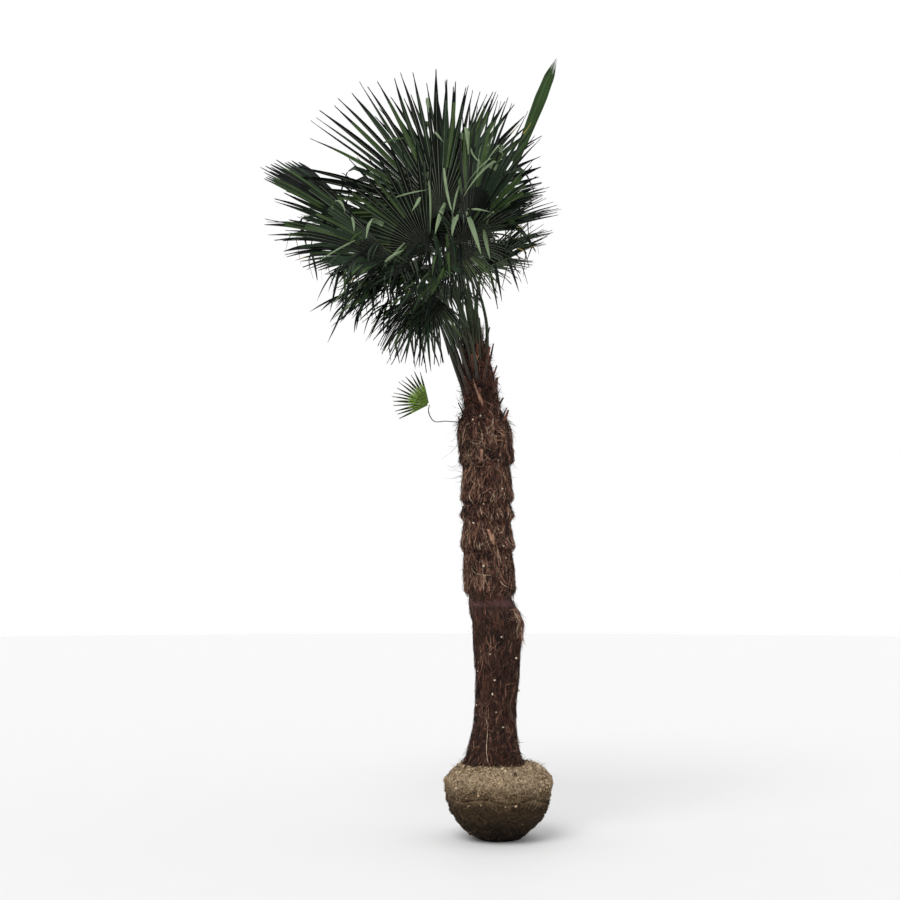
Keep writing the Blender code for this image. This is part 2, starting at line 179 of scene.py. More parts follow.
FRONDS = (
    Frond("01", (-0.365, 0.12, 4.01), 119, 3, (0.15, -1.0, 0.15), 1.05, 200, 4, 0.02),
    Frond("02", (-0.18, 0.05, 3.86), 80, -4, (-0.81, -0.59, 0.0), 0.90, 190, 6, 0.02),
    Frond("03", (-0.30, 0.34, 4.16), 84, 6, FRONT, 0.87, 104, 6, 0.02),
    Frond("04", (-0.68, -0.05, 3.74), 148, -8, (0.40, -0.50, 0.77), 0.94, 48, 4, 0.0),
    Frond("05", (-0.70, -0.25, 3.66), 165, -10, (0.3, -0.75, 0.6), 0.78, 76, 12, 0.03),
    Frond("06", (-0.64, -0.35, 3.57), 178, -22, (0.2, -0.65, 0.7), 0.70, 100, 14, 0.08),
    Frond("07", (-0.44, -0.12, 3.69), 143, -8, (0.1, -1.0, -0.2), 0.75, 112, 8, 0.05),
    Frond("08", (-0.17, -0.02, 3.54), 27, -14, (-0.4, -0.6, 1.0), 0.58, 90, 12, 0.0),
    Frond("09", (-0.13, 0.27, 3.76), 20, 30, (-0.1, -0.3, 1.0), 0.56, 100, 20, 0.04),
    Frond("10", (-0.41, -0.28, 3.36), 267, -30, (-0.3, -0.6, 0.7), 0.58, 80, 10, 0.06),
    Frond("11", (-0.50, -0.03, 3.42), 247, -5, (-0.3, -0.6, 0.7), 0.44, 110, 10, 0.10),
    Frond("12", (-0.62, -0.14, 3.52), 200, -12, (-0.2, -0.4, 1.0), 0.49, 120, 12, 0.45),
    Frond("13", (-0.60, 0.16, 3.60), 186, 24, (0.0, -0.3, 1.0), 0.52, 120, 12, 0.20),
    Frond("14", (-0.29, -0.30, 3.70), 322, -14, FRONT, 0.50, 150, 8, 0.04),
    Frond("15", (-0.42, -0.27, 3.53), 220, -60, SKYWARD, 0.50, 120, 8, 0.30),
    Frond("16", (-0.22, -0.10, 3.75), 12, -42, (0.2, -0.4, 1.0), 0.62, 140, 15, 0.05),
    Frond("17", (-0.48, -0.40, 3.50), 205, -46, (0.0, 0.3, 0.9), 0.50, 130, 10, 0.15),
    Frond("18", (-0.50, 0.46, 3.84), 150, 35, (0.0, 0.2, 1.0), 0.74, 180, 12, 0.08),
    Frond("19", (-0.20, 0.46, 4.02), 66, 50, (0.0, 0.2, 1.0), 0.72, 190, 12, 0.10),
    Frond("20", (-0.12, 0.36, 3.92), 44, 24, (-0.3, -0.8, 0.4), 0.62, 90, 12, 0.04),
    Frond("21", (-0.54, 0.42, 3.74), 182, 42, SKYWARD, 0.61, 180, 12, 0.20),
    Frond("22", (-0.36, 0.46, 3.62), 224, 66, SKYWARD, 0.50, 130, 12, 0.20),
    Frond("23", (-0.29, 0.64, 3.88), 95, 72, SKYWARD, 0.70, 200, 12, 0.15),
    Frond("24", (-0.64, 0.27, 3.83), 160, 16, (0.0, -0.2, 1.0), 0.70, 110, 20, 0.05),
    Frond("25", (-0.36, 0.24, 3.80), 110, 16, FRONT, 0.80, 190, 8, 0.05),
    Frond("26", (-0.20, 0.54, 3.74), 40, 72, SKYWARD, 0.58, 180, 12, 0.15),
)
LOW_FROND = Frond("low", (-0.43, -0.25, 2.67), 156, -8, FRONT, 0.24, 105, 8, 0.03)
LOW_STALK_RADIUS = 0.004

# The fronds go into three meshes, each well under the most triangles that a piece may have
CROWN_PARTS = {
    "leaves_front": ("01", "02", "07", "08", "10", "14", "15", "16", "17"),
    "leaves_left": ("04", "05", "06", "11", "12", "13", "24"),
    "leaves_rear": ("03", "09", "18", "19", "20", "21", "22", "23", "25", "26"),
}

# Unopened spear leaf: where its blade starts and ends, and its widest half
SPEAR_SEAT = (0.09, 0.03, 4.22)
SPEAR_TIP = (0.413, 0.05, 5.06)
SPEAR_HALF_WIDTH = 0.044
SPEAR_HALF_DEPTH = 0.012
SPEAR_PLEATS = 9
SPEAR_STATIONS = 26
SPEAR_SWELL = ((0.0, 0.30), (0.3, 0.72), (0.66, 1.0), (0.84, 0.80), (1.0, 0.06))

# The order of the leaf finishes in a crown piece's material slots
DEEP, MIDDLE, FRESH, UNDER, RIB_HIGHLIGHT, DRY = range(6)
# The order of the fibre finishes
SHADOW, BROWN, RED, TAN, STRAW = range(5)

# Camera: the picture is 900 pixels wide and high
PICTURE = 900
FOCAL_PIXELS = 1258.14
CAMERA_PLACE = (-0.3008, -8.0, 1.5)
CAMERA_RISE = math.radians(6.52)
SENSOR = 36.0
FLOOR_RADIUS = 40.0


def unit(vectors):
    """The vectors, each made one long."""
    return vectors / np.linalg.norm(vectors, axis=-1, keepdims=True)


def square_to(vectors, headings):
    """The vectors without their part along the headings, each made one long."""
    along = np.sum(vectors * headings, axis=-1, keepdims=True)
    return unit(vectors - headings * along)


def turned(vectors, others, angles):
    """The vectors, turned towards the others by angles."""
    return vectors * np.cos(angles)[..., None] + others * np.sin(angles)[..., None]


def read_along(stations, places):
    """Values at places, read along the straight lines between stations."""
    marks, values = zip(*stations)
    return np.interp(places, marks, values)


def rough(points, fineness):
    """Smooth chance values from -1 to 1 at points, finer with a larger fineness."""
    scaled = np.asarray(points) * fineness
    values = [noise.noise(point) for point in scaled.reshape(-1, 3).tolist()]
    return np.array(values).reshape(scaled.shape[:-1])


def along_curve(points, shares):
    """Points at shares of the way along a smooth curve through the given points."""
    points = np.asarray(points, float)
    steps = np.linalg.norm(np.diff(points, axis=0), axis=1)
    marks = np.concatenate(((0.0,), np.cumsum(steps))) / steps.sum()
    slopes = np.gradient(points, marks, axis=0)
    index = np.clip(np.searchsorted(marks, shares, side="right") - 1, 0, len(steps) - 1)
    span = (marks[index + 1] - marks[index])[:, None]
    part = (np.asarray(shares) - marks[index])[:, None] / span
    start, end = points[index], points[index + 1]
    leave, arrive = slopes[index] * span, slopes[index + 1] * span
    bulge = (leave * (1 - part) - arrive * part) - (end - start) * (1 - 2 * part)
    return start + (end - start) * part + bulge * part * (1 - part)


class Value:
    """A number that a material's nodes work out. Sums and products add Math nodes."""

    def __init__(self, finish, socket):
        self.finish = finish
        self.socket = socket

    def math(self, operation, first, second=0.0):
        """The result of one Math node."""
        return self.finish.node(
            "ShaderNodeMath", {"operation": operation}, {0: first, 1: second}
        )

    def __add__(self, other):
        return self.math("ADD", self, other)

    def __radd__(self, other):
        return self.math("ADD", other, self)

    def __sub__(self, other):
        return self.math("SUBTRACT", self, other)

    def __rsub__(self, other):
        return self.math("SUBTRACT", other, self)

    def __mul__(self, other):
        return self.math("MULTIPLY", self, other)

    def __rmul__(self, other):
        return self.math("MULTIPLY", other, self)


class Finish:
    """A material that is put together node by node."""

    def __init__(self, name, gloss=0.5):
        self.material = bpy.data.materials.new(name)
        self.material.use_nodes = True
        self.tree = self.material.node_tree
        self.shader = self.tree.nodes["Principled BSDF"]
        self.shader.inputs["Specular IOR Level"].default_value = gloss
        self.place = self.node("ShaderNodeTexCoord", output="Object")

    def node(self, kind, settings=None, inputs=None, output=0):
        """Add a node: its settings first, then the values or links of its sockets."""
        made = self.tree.nodes.new(kind)
        settings = dict(settings or {})
        stops = settings.pop("stops", ())
        for name, value in settings.items():
            setattr(made, name, value)
        for index, (position, colour) in enumerate(stops):
            elements = made.color_ramp.elements
            stop = elements[index] if index < len(elements) else elements.new(position)
            stop.position = position
            stop.color = (*colour, 1.0)
        for name, value in (inputs or {}).items():
            if isinstance(value, Value):
                self.tree.links.new(value.socket, made.inputs[name])
            else:
                made.inputs[name].default_value = value
        return Value(self, made.outputs[output])

    def stretched(self, scale):
        """The place on the piece, squeezed by a scale for each axis."""
        return self.node("ShaderNodeMapping", inputs={"Vector": self.place, "Scale": scale})

    def speckle(self, scale, detail=3.0, stretch=None, rough_share=0.5):
        """Soft chance values round 0.5."""
        place = self.place if stretch is None else self.stretched(stretch)
        return self.node(
            "ShaderNodeTexNoise",
            inputs={"Vector": place, "Scale": scale, "Detail": detail, "Roughness": rough_share},
        )

    def cells(self, scale):
        """Distance to the nearest of many scattered points."""
        return self.node("ShaderNodeTexVoronoi", inputs={"Vector": self.place, "Scale": scale})

    def height(self):
        """Height above the ground."""
        return self.node("ShaderNodeSeparateXYZ", inputs={0: self.place}, output="Z")

    def spread(self, value, low, high):
        """The value, mapped so that low is 0 and high is 1, and no further."""
        return self.node(
            "ShaderNodeMapRange",
            {"interpolation_type": "SMOOTHSTEP"},
            {"Value": value, "From Min": low, "From Max": high},
        )

    def blend(self, factor, one, other):
        """A colour between two."""
        colours = {
            name: colour if isinstance(colour, Value) else (*colour, 1.0)
            for name, colour in ((6, one), (7, other))
        }
        return self.node("ShaderNodeMix", {"data_type": "RGBA"}, {0: factor, **colours}, output=2)

    def paint(self, colour, roughness):
        """Link the colour and the roughness."""
        self.tree.links.new(colour.socket, self.shader.inputs["Base Color"])
        self.tree.links.new(roughness.socket, self.shader.inputs["Roughness"])

    def raise_by(self, height, distance, strength=1.0):
        """Raise the surface's grain by the height value."""
        bump = self.node(
            "ShaderNodeBump",
            inputs={"Height": height, "Distance": distance, "Strength": strength},
            output="Normal",
        )
        self.tree.links.new(bump.socket, self.shader.inputs["Normal"])


def shaded(colour, share):
    """A colour made lighter or darker."""
    return tuple(min(1.0, part * share) for part in colour)


def leaf_finish(name, colour, roughness=0.42):
    """Leaf skin: one green with soft mottling, and a satin gloss that varies."""
    finish = Finish(name, gloss=0.11)
    broad = finish.spread(finish.speckle(5.0, 2.0), 0.3, 0.7)
    fine = finish.speckle(60.0, 4.0)
    base = finish.blend(broad, shaded(colour, 0.72), shaded(colour, 1.25))
    skin = finish.blend(0.35 * fine, base, shaded(colour, 1.8))
    finish.paint(skin, roughness + 0.22 * fine)
    finish.raise_by(finish.speckle(220.0, 2.0), 0.0006, 0.5)
    return finish.material


def fibre_finish(name, colour):
    """Dry fibre: matt, streaked along its hang."""
    finish = Finish(name, gloss=0.25)
    streak = finish.spread(finish.speckle(70.0, 4.0, (1.0, 1.0, 0.18)), 0.3, 0.7)
    tone = finish.blend(streak, shaded(colour, 0.45), shaded(colour, 1.5))
    finish.paint(tone, 0.78 + 0.2 * finish.speckle(160.0))
    finish.raise_by(finish.speckle(300.0, 2.0, (1.0, 1.0, 0.1)), 0.0008, 0.6)
    return finish.material


def stalk_finish(name, colour, base):
    """Leaf stalk: smooth green, browner low down where old fibre clings."""
    finish = Finish(name, gloss=0.45)
    low = 1.0 - finish.spread(finish.height() + 0.25 * finish.speckle(9.0), 2.95, 3.45)
    green = finish.blend(finish.speckle(24.0, 4.0, (1.0, 1.0, 0.2)), shaded(colour, 0.6), colour)
    finish.paint(finish.blend(low, green, base), 0.42 + 0.3 * finish.speckle(50.0))
    finish.raise_by(finish.speckle(120.0, 3.0, (1.0, 1.0, 0.12)), 0.0008, 0.5)
    return finish.material


def trunk_finish(look):
    """Matted fibre skin: browns streaked with painted shade, a bare plum-brown band at the waist.
    """
    finish = Finish("trunk_matting", gloss=0.2)
    streak = finish.spread(finish.speckle(45.0, 6.0, (1.0, 1.0, 0.14), 0.65), 0.32, 0.68)
    patch = finish.spread(finish.speckle(7.0, 3.0), 0.4, 0.65)
    # The dark side of each streak is the shadow colour made near black: painted shade between the
    # fibres
    dark = finish.blend(streak, shaded(look.shadow, 0.35), look.brown)
    red = finish.blend(streak, shaded(look.shadow, 0.4), look.red)
    matting = finish.blend(patch, dark, red)
    waver = finish.height() + 0.03 * finish.speckle(12.0)
    above = finish.spread(waver, WAIST_LOW, WAIST_LOW + 0.02)
    below = 1.0 - finish.spread(waver, WAIST_HIGH, WAIST_HIGH + 0.02)
    skin = finish.blend(streak, shaded(look.waist, 0.5), look.waist)
    finish.paint(finish.blend(above * below, matting, skin), 0.8 + 0.15 * streak)
    grain = finish.speckle(150.0, 4.0, (1.0, 1.0, 0.12), 0.6)
    finish.raise_by(grain + 0.5 * finish.speckle(60.0, 3.0), 0.006, 0.8)
    return finish.material


def earth_finish(look):
    """Earth of the ball: paler on top, browner below its crack, nearly black underneath."""
    finish = Finish("ball_earth", gloss=0.15)
    waver = finish.height() + 0.10 * finish.speckle(7.0, 5.0) - 0.05
    bands = finish.node(
        "ShaderNodeValToRGB",
        {
            "stops": (
                (0.04, look.underside),
                (0.36, look.low_earth),
                (0.55, look.low_earth),
                (0.64, look.earth),
                (0.80, look.earth),
                (0.97, look.pale_earth),
            )
        },
        {0: finish.spread(waver, 0.0, BALL_TOP)},
    )
    grit = finish.spread(finish.speckle(85.0, 6.0, rough_share=0.7), 0.35, 0.68)
    clod = finish.spread(finish.speckle(16.0, 3.0), 0.45, 0.62)
    high = finish.spread(waver, 0.20, 0.36)
    dusty = finish.blend(0.5 * clod * high, bands, look.pale_earth)
    soil = finish.blend(0.75 - 0.75 * grit, dusty, look.underside)
    finish.paint(soil, 0.88 + 0.1 * grit)
    crumbs = finish.speckle(190.0, 5.0, rough_share=0.7) + 0.6 * finish.cells(70.0)
    finish.raise_by(crumbs, 0.008, 0.9)
    return finish.material


def crumb_finish(name, colour):
    """Loose crumbs of earth."""
    finish = Finish(name, gloss=0.15)
    grain = finish.speckle(130.0, 4.0, rough_share=0.7)
    finish.paint(finish.blend(grain, shaded(colour, 0.55), shaded(colour, 1.4)), 0.85 + 0.1 * grain)
    finish.raise_by(grain, 0.002, 0.8)
    return finish.material


class Heap:
    """Points, faces and face finishes of many small things that become one mesh."""

    def __init__(self):
        self.points = []
        self.faces = []
        self.slots = []
        self.count = 0

    def add(self, points, faces, slots):
        """Add things as points (n, 3), faces (n, corners) and a finish for each face."""
        self.points.append(points)
        self.faces.extend((faces + self.count).tolist())
        self.slots.append(np.broadcast_to(slots, len(faces)))
        self.count += len(points)

    def strips(self, rails, slots):
        """Add strips whose points are (strips, stations, across, 3), with finishes by face."""
        count, stations, across = rails.shape[:3]
        index = np.arange(count * stations * across).reshape(count, stations, across)
        near, far = index[:, :-1], index[:, 1:]
        corners = (near[..., :-1], near[..., 1:], far[..., 1:], far[..., :-1])
        faces = np.stack(corners, axis=-1)
        self.add(
            rails.reshape(-1, 3),
            faces.reshape(-1, 4),
            np.broadcast_to(slots, faces.shape[:3]).reshape(-1),
        )

    def bulging_strip(self, line, across, raised, half, bulge, slot):
        """Add one strip along a line, with its middle raised by a share of its half width."""
        edge = across * half[:, None]
        middle = line + raised * bulge * half[:, None]
        self.strips(np.stack((line - edge, middle, line + edge), axis=1)[None], slot)

    def piece(self, name, finishes, smooth=False):
        """Turn the heap into one mesh object that rides with the palm."""
        data = bpy.data.meshes.new(name)
        data.from_pydata(np.concatenate(self.points).tolist(), [], self.faces)
        for finish in finishes:
            data.materials.append(finish)
        data.polygons.foreach_set("material_index", np.concatenate(self.slots).astype(np.int32))
        data.polygons.foreach_set("use_smooth", np.full(len(data.polygons), smooth))
        data.update()
        return placed(name, data)


def placed(name, data):
    """Put a finished mesh into the scene and let it ride with the palm."""
    piece = bpy.data.objects.new(name, data)
    bpy.context.scene.collection.objects.link(piece)
    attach(piece, "root")
    return piece


def finish_shape(name, shape, finishes, smooth=True):
    """Turn a bmesh into a piece."""
    data = bpy.data.meshes.new(name)
    shape.to_mesh(data)
    shape.free()
    for finish in finishes:
        data.materials.append(finish)
    data.polygons.foreach_set("use_smooth", np.full(len(data.polygons), smooth))
    return placed(name, data)


def turned_shape(profile, sides):
    """A closed shape of revolution with flat ends, from (radius, height) pairs."""
    shape = bmesh.new()
    line = [shape.verts.new((radius, 0.0, height)) for radius, height in profile]
    edges = [shape.edges.new(pair) for pair in zip(line, line[1:])]
    bmesh.ops.spin(
        shape,
        geom=line + edges,
        cent=(0.0, 0.0, 0.0),
        axis=SKYWARD,
        angle=math.tau,
        steps=sides,
        use_merge=True,
    )
    bmesh.ops.holes_fill(shape, edges=shape.edges, sides=0)
    bmesh.ops.recalc_face_normals(shape, faces=shape.faces)
    return shape


def move_points(shape, mover):
    """Move every point of a bmesh by a function of all points at once."""
    points = np.array([vert.co for vert in shape.verts])
    for vert, point in zip(shape.verts, mover(points).tolist()):
        vert.co = point


def frond_axes(frond):
    """Middle ray, side and upper-face directions of a frond's blade."""
    climb = math.radians(frond.climb)
    away = math.radians(frond.away)
    level = math.cos(away)
    middle = np.array((math.cos(climb) * level, math.sin(away), math.sin(climb) * level))
    upper = square_to(np.array(frond.face), middle)
    return middle, np.cross(upper, middle), upper


class Bending(NamedTuple):
    """How a frond's leaflets give way."""

    bent: float  # share of leaflets that are broken over
    sag: float  # how much free ends hang, over the frond's own droop
    shades: tuple  # shares of the deep, middle and fresh greens
    stray: float = 0.05  # how far free ends stray from their rays
    density: float = 1.0  # leaflets, as a share of the usual number
    # Dark tips are painted shade: these stations take the deep green, as tips seen dark against a
    # bright sky
    dark_tip: int = 3  # stations that are dark before a tip
    part: tuple = (0.40, 0.54)  # share of the reach where neighbours part


FIRM = Bending(0.20, 0.10, (0.32, 0.48, 0.20))
OLD = Bending(0.26, 0.45, (0.50, 0.38, 0.12), 0.15, 1.3)
LIVELY = Bending(0.24, 0.18, (0.26, 0.46, 0.28), 0.05, 1.15, 3, (0.52, 0.68))
YOUNG = Bending(0.06, 0.16, (0.3, 0.4, 0.3), 0.12, 0.55, 8)
JOINED = Bending(0.05, 0.05, (0.20, 0.45, 0.35), 0.04, 1.3, 1, (0.70, 0.84))
BENDING = {"04": JOINED, "05": LIVELY, "06": LIVELY, "10": OLD, "11": OLD, "12": OLD}
BENDING |= {"13": OLD, "14": OLD, "15": LIVELY, "17": OLD, "21": OLD, "22": OLD}

# Leaflets: latest share of their own length where they part, and how uneven their seams are
LATEST_PART = 0.7
SEAM_WOBBLE = 0.10
PLEAT = 0.85
OPEN_PLEAT = 0.18
RIB_HALF = 0.0021
TIP_HALF = 0.0032
TIP_FORK = 0.012
TAPER = 2.2
# Share of the stations near the hub whose flanks take the deep green: painted shade in the pleats
# and the crown's inside
DARK_HEART = 0.36
# Share of the broken upright leaflets that fall over the upper face
TO_FACE = 0.88
# A ray that rises more than this is upright
UPRIGHT = 0.5
LENGTH_SHARES = (0.96, 1.035)
BEND_ANGLES = (70.0, 150.0)
SAG_SHARES = (0.2, 1.6)
ROLL_SPREAD = 0.5
RIB_NARROWING = 0.6
WIDEST_RIB = 0.24
FREE_FALL = 1.6
BEND_SHARES = (0.38, 0.72)
BENT_WIDTH = 1.25
BEND_STEPS = 2


def add_fan(heap, frond, look, bending, rng):
    """Add one frond's leaflets: pleated and joined near the hub, then free and pointed."""
    middle, side, upper = frond_axes(frond)
    spread = math.radians(frond.spread)
    count = round(look.leaflets * bending.density * spread / math.tau)
    seams = np.linspace(-0.5, 0.5, count + 1) * spread
    seams[1:-1] += rng.normal(0.0, SEAM_WOBBLE, count - 1) * spread / count
    angles = 0.5 * (seams[1:] + seams[:-1])
    fold = math.radians(frond.fold)
    sines, cosines = np.sin(angles), np.cos(angles)
    raised = upper * math.sin(fold)
    flat = side * math.cos(fold)
    rays = np.outer(cosines, middle) + np.outer(sines, flat) + np.outer(abs(sines), raised)
    rays = unit(rays)
    across = np.outer(-sines, middle) + np.outer(cosines, flat)
    across = square_to(across + np.outer(np.sign(angles) * cosines, raised), rays)
    lengths = frond.reach * (1.0 - SHORT_SIDES * (angles / WIDEST_TURN) ** 2)
    lengths *= rng.uniform(*LENGTH_SHARES, count)
    parts = frond.reach * rng.uniform(*bending.part, count + 1)
    latest = lengths * max(LATEST_PART, bending.part[1])
    parts_left = np.minimum(parts[:-1], latest)
    parts_right = np.minimum(parts[1:], latest)
    parted = 0.5 * (parts_left + parts_right)
    slope_left = np.tan(angles - seams[:-1])
    slope_right = np.tan(seams[1:] - angles)
    is_bent = rng.random(count) < bending.bent
    bend_at = lengths * rng.uniform(*BEND_SHARES, count)
    bend_turn = np.radians(rng.uniform(*BEND_ANGLES, count)) * is_bent
    # An upright leaflet mostly breaks towards the face, any other one towards the ground
    lift = np.cross(rays, across)[:, 2]
    to_face = np.where(rng.random(count) < TO_FACE, 1.0, -1.0)
    forward = np.where(rays[:, 2] > UPRIGHT, to_face, -np.sign(lift))
    sway = rng.normal(0.0, bending.stray, count)
    rise = rng.normal(0.0, bending.stray, count)
    sag = bending.sag * rng.uniform(*SAG_SHARES, count)
    roll = rng.normal(0.0, ROLL_SPREAD, count)
    start = 0.5 * BLADE_SEAT
    stations = look.stations
    step = (lengths - start) / stations
    place = np.array(frond.hub) + rays * start
    base = rays.copy()
    turned_by = np.zeros(count)
    rails = np.empty((count, stations + 1, 4, 3))
    over = np.zeros((count, stations), bool)
    for station in range(stations + 1):
        distance = start + step * station
        free = np.clip((distance - parted) / (lengths - parted), 0.0, 1.0)
        here = base + across * (sway * free)[:, None]
        here += np.cross(base, across) * (rise * free)[:, None]
        fall = 2.0 * frond.droop * distance / frond.reach + sag * free
        fall = np.where(turned_by > 0.0, fall + FREE_FALL * free, fall)
        level = np.hypot(here[:, 0], here[:, 1])
        heading = unit(here + DOWN * (fall * level)[:, None])
        sideways = square_to(across, heading)
        sideways = turned(sideways, np.cross(heading, sideways), roll * free)
        normal = np.cross(heading, sideways)
        left = np.minimum(distance, parts_left) * slope_left
        right = np.minimum(distance, parts_right) * slope_right
        left *= 1.0 - np.clip((distance - parts_left) / (lengths - parts_left), 0, 1) ** TAPER
        right *= 1.0 - np.clip((distance - parts_right) / (lengths - parts_right), 0, 1) ** TAPER
        wider = np.where(turned_by > 0.0, BENT_WIDTH, 1.0)
        left = np.maximum(left * wider, TIP_HALF * free)
        right = np.maximum(right * wider, TIP_HALF * free)
        pleat = np.where(turned_by > 0.0, OPEN_PLEAT, PLEAT)
        rib = np.minimum(RIB_HALF * (1.0 - RIB_NARROWING * free), WIDEST_RIB * left)
        fork = TIP_FORK if station == stations else 0.0
        rib_place = place - heading * fork
        rails[:, station, 0] = place - sideways * left[:, None] + normal * (pleat * left)[:, None]
        rails[:, station, 1] = rib_place - sideways * rib[:, None]
        rails[:, station, 2] = rib_place + sideways * rib[:, None]
        rails[:, station, 3] = place + sideways * right[:, None] + normal * (pleat * right)[:, None]
        if station < stations:
            place = place + heading * step[:, None]
            due = (distance > bend_at) & (turned_by < bend_turn)
            turn = np.where(due, bend_turn / BEND_STEPS, 0.0)
            base = turned(base, np.cross(base, across) * forward[:, None], turn)
            turned_by += turn
            over[:, station] = turned_by > 0.0
    greens = rng.choice((DEEP, MIDDLE, FRESH), count, p=bending.shades)
    slots = np.repeat(np.repeat(greens[:, None, None], stations, 1), 3, 2)
    # The middle strip takes the pale rib green: the midrib, lightened as painted highlight of the
    # fold
    slots[:, :, 1] = RIB_HIGHLIGHT
    # Painted shade: the last stations before each tip take the deep green
    slots[:, -bending.dark_tip :] = DEEP
    # Painted shade: near the hub the flanks between the ribs take the deep green
    hearts = round(DARK_HEART * stations)
    slots[:, :hearts, (0, 2)] = DEEP
    slots[over & (forward > 0)[:, None]] = UNDER
    dry = rng.random(count) < look.dry_share
    slots[dry, -2:] = DRY
    heap.strips(rails, slots)


# Broken leaflets that hang over the crown's front: first and last column and row of the
# picture, half width in metres, and finish
HANGING = (
    ((428, 172), (430, 234), 0.009, UNDER),
    ((444, 168), (453, 216), 0.010, UNDER),
    ((459, 186), (452, 222), 0.007, UNDER),
    ((445, 203), (435, 234), 0.016, UNDER),
    ((459, 212), (452, 236), 0.018, UNDER),
    ((467, 212), (481, 254), 0.018, UNDER),
    ((484, 230), (490, 259), 0.015, UNDER),
    ((420, 197), (412, 211), 0.012, UNDER),
    ((396, 197), (427, 190), 0.006, UNDER),
    ((471, 147), (481, 164), 0.007, UNDER),
    ((435, 132), (443, 142), 0.008, UNDER),
    ((383, 143), (406, 138), 0.009, FRESH),
    ((467, 209), (490, 212), 0.007, UNDER),
    ((446, 264), (431, 294), 0.015, FRESH),
    ((436, 262), (441, 290), 0.012, MIDDLE),
    ((352, 217), (354, 232), 0.010, UNDER),
    ((362, 232), (349, 246), 0.008, FRESH),
    ((385, 262), (404, 250), 0.010, UNDER),
    ((355, 262), (346, 290), 0.010, MIDDLE),
    ((341, 262), (330, 312), 0.010, DEEP),
    ((352, 268), (342, 318), 0.010, DEEP),
    ((372, 290), (360, 314), 0.010, DEEP),
    ((495, 262), (502, 302), 0.009, DEEP),
    ((508, 258), (519, 292), 0.009, DEEP),
    ((412, 318), (405, 364), 0.010, MIDDLE),
    ((420, 322), (419, 368), 0.010, DEEP),
    ((428, 320), (431, 372), 0.010, MIDDLE),
    ((498, 176), (520, 170), 0.009, MIDDLE),
    ((426, 232), (432, 276), 0.014, DEEP),
    ((433, 230), (440, 280), 0.016, MIDDLE),
    ((441, 232), (445, 272), 0.016, DEEP),
    ((447, 234), (450, 276), 0.015, FRESH),
    ((453, 236), (456, 268), 0.014, MIDDLE),
    ((429, 238), (426, 268), 0.013, DEEP),
    ((460, 244), (462, 282), 0.012, DEEP),
)
HANG_STATIONS = 12
HANG_CLEAR = 0.012


def pixel_ray(column, row):
    """Direction in which the camera sees a pixel of the picture, one long towards +Y."""
    right = (column - PICTURE / 2) / FOCAL_PIXELS
    up = (PICTURE / 2 - row) / FOCAL_PIXELS
    sine, cosine = math.sin(CAMERA_RISE), math.cos(CAMERA_RISE)
    return np.array((right, cosine - up * sine, sine + up * cosine)) / (cosine - up * sine)


def seen_depth(tree, ray, depth):
    """How far along Y the camera sees a leaf, or the depth given where it sees none."""
    hit = tree.ray_cast(Vector(CAMERA_PLACE), Vector(ray))[0]
    return depth if hit is None else hit.y


# Thicket of broken leaflets at the crown's lower left: the corners of the area of the picture
# where they start, their run in pixels, its angles from level in degrees, and their finishes
THICKET = 120
THICKET_AREA = ((338, 240), (440, 312))
THICKET_RUN = (18.0, 44.0)
THICKET_ANGLES = (95.0, 155.0)
THICKET_HALF = (0.005, 0.009)
THICKET_SHADES = (0.52, 0.32, 0.10, 0.06)


def thicket(rng):
    """The first and last pixels, half width and finish of each leaflet of the thicket."""
    for _ in range(THICKET):
        first = rng.uniform(*THICKET_AREA)
        angle = math.radians(rng.uniform(*THICKET_ANGLES))
        way = np.array((math.cos(angle), math.sin(angle)))
        slot = rng.choice(4, p=THICKET_SHADES)
        yield first, first + way * rng.uniform(*THICKET_RUN), rng.uniform(*THICKET_HALF), slot


def add_hanging(heap, tree, first, last, half, slot, rng):
    """Hang one broken leaflet between two pixels, in front of the leaves seen on its way."""
    shares = np.linspace(0.0, 1.0, HANG_STATIONS + 1)
    sag = np.outer(np.sin(math.pi * shares), (rng.normal(0.0, 1.5), -1.0))
    pixels = np.array(first) + np.outer(shares, np.subtract(last, first)) + sag
    rays = np.array([pixel_ray(*pixel) for pixel in pixels])
    depths = []
    depth = 0.0
    for ray in rays:
        depth = seen_depth(tree, ray, depth)
        depths.append(depth)
    nearest = np.minimum.accumulate(depths) - HANG_CLEAR * (0.5 + 2.0 * shares)
    straight = nearest[0] + (nearest[-1] - nearest[0]) * shares
    nearest = np.minimum(nearest, straight)
    smooth = np.convolve(np.pad(nearest, 1, mode="edge"), (0.25, 0.5, 0.25), mode="valid")
    line = CAMERA_PLACE + rays * (smooth - CAMERA_PLACE[1])[:, None]
    headings = unit(np.gradient(line, axis=0))
    view = np.array((rng.normal(0.0, 0.35), -1.0, 0.1))
    across = square_to(np.cross(headings, view), headings)
    raised = np.cross(across, headings)
    width = half * np.minimum(1.0, 0.5 + 2.0 * shares) * (1.0 - 0.92 * shares**2.6)
    heap.bulging_strip(line, across, raised, width, 0.35, slot)


def centre_line(node, end):
    """Middle points of the rings of a stalk in the frame, from the end nearest a place."""
    shape = bmesh.new()
    shape.from_mesh(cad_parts[node].data)
    bmesh.ops.remove_doubles(shape, verts=shape.verts, dist=0.00001)
    nearest = sorted(shape.verts, key=lambda vert: (vert.co - Vector(end)).length)
    ring = nearest[:STALK_SIDES]
    seen = set(ring)
    middles = []
    while ring:
        middles.append(sum((vert.co for vert in ring), Vector()) / len(ring))
        beyond = {edge.other_vert(vert) for vert in ring for edge in vert.link_edges}
        ring = list(beyond - seen)
        seen |= beyond
    shape.free()
    return [tuple(middle) for middle in reversed(middles)]


STALK_STATIONS = 26
STALK_ROUND = 12
TOOTH_SPACING = 0.016
TOOTH_LENGTH = 0.0022
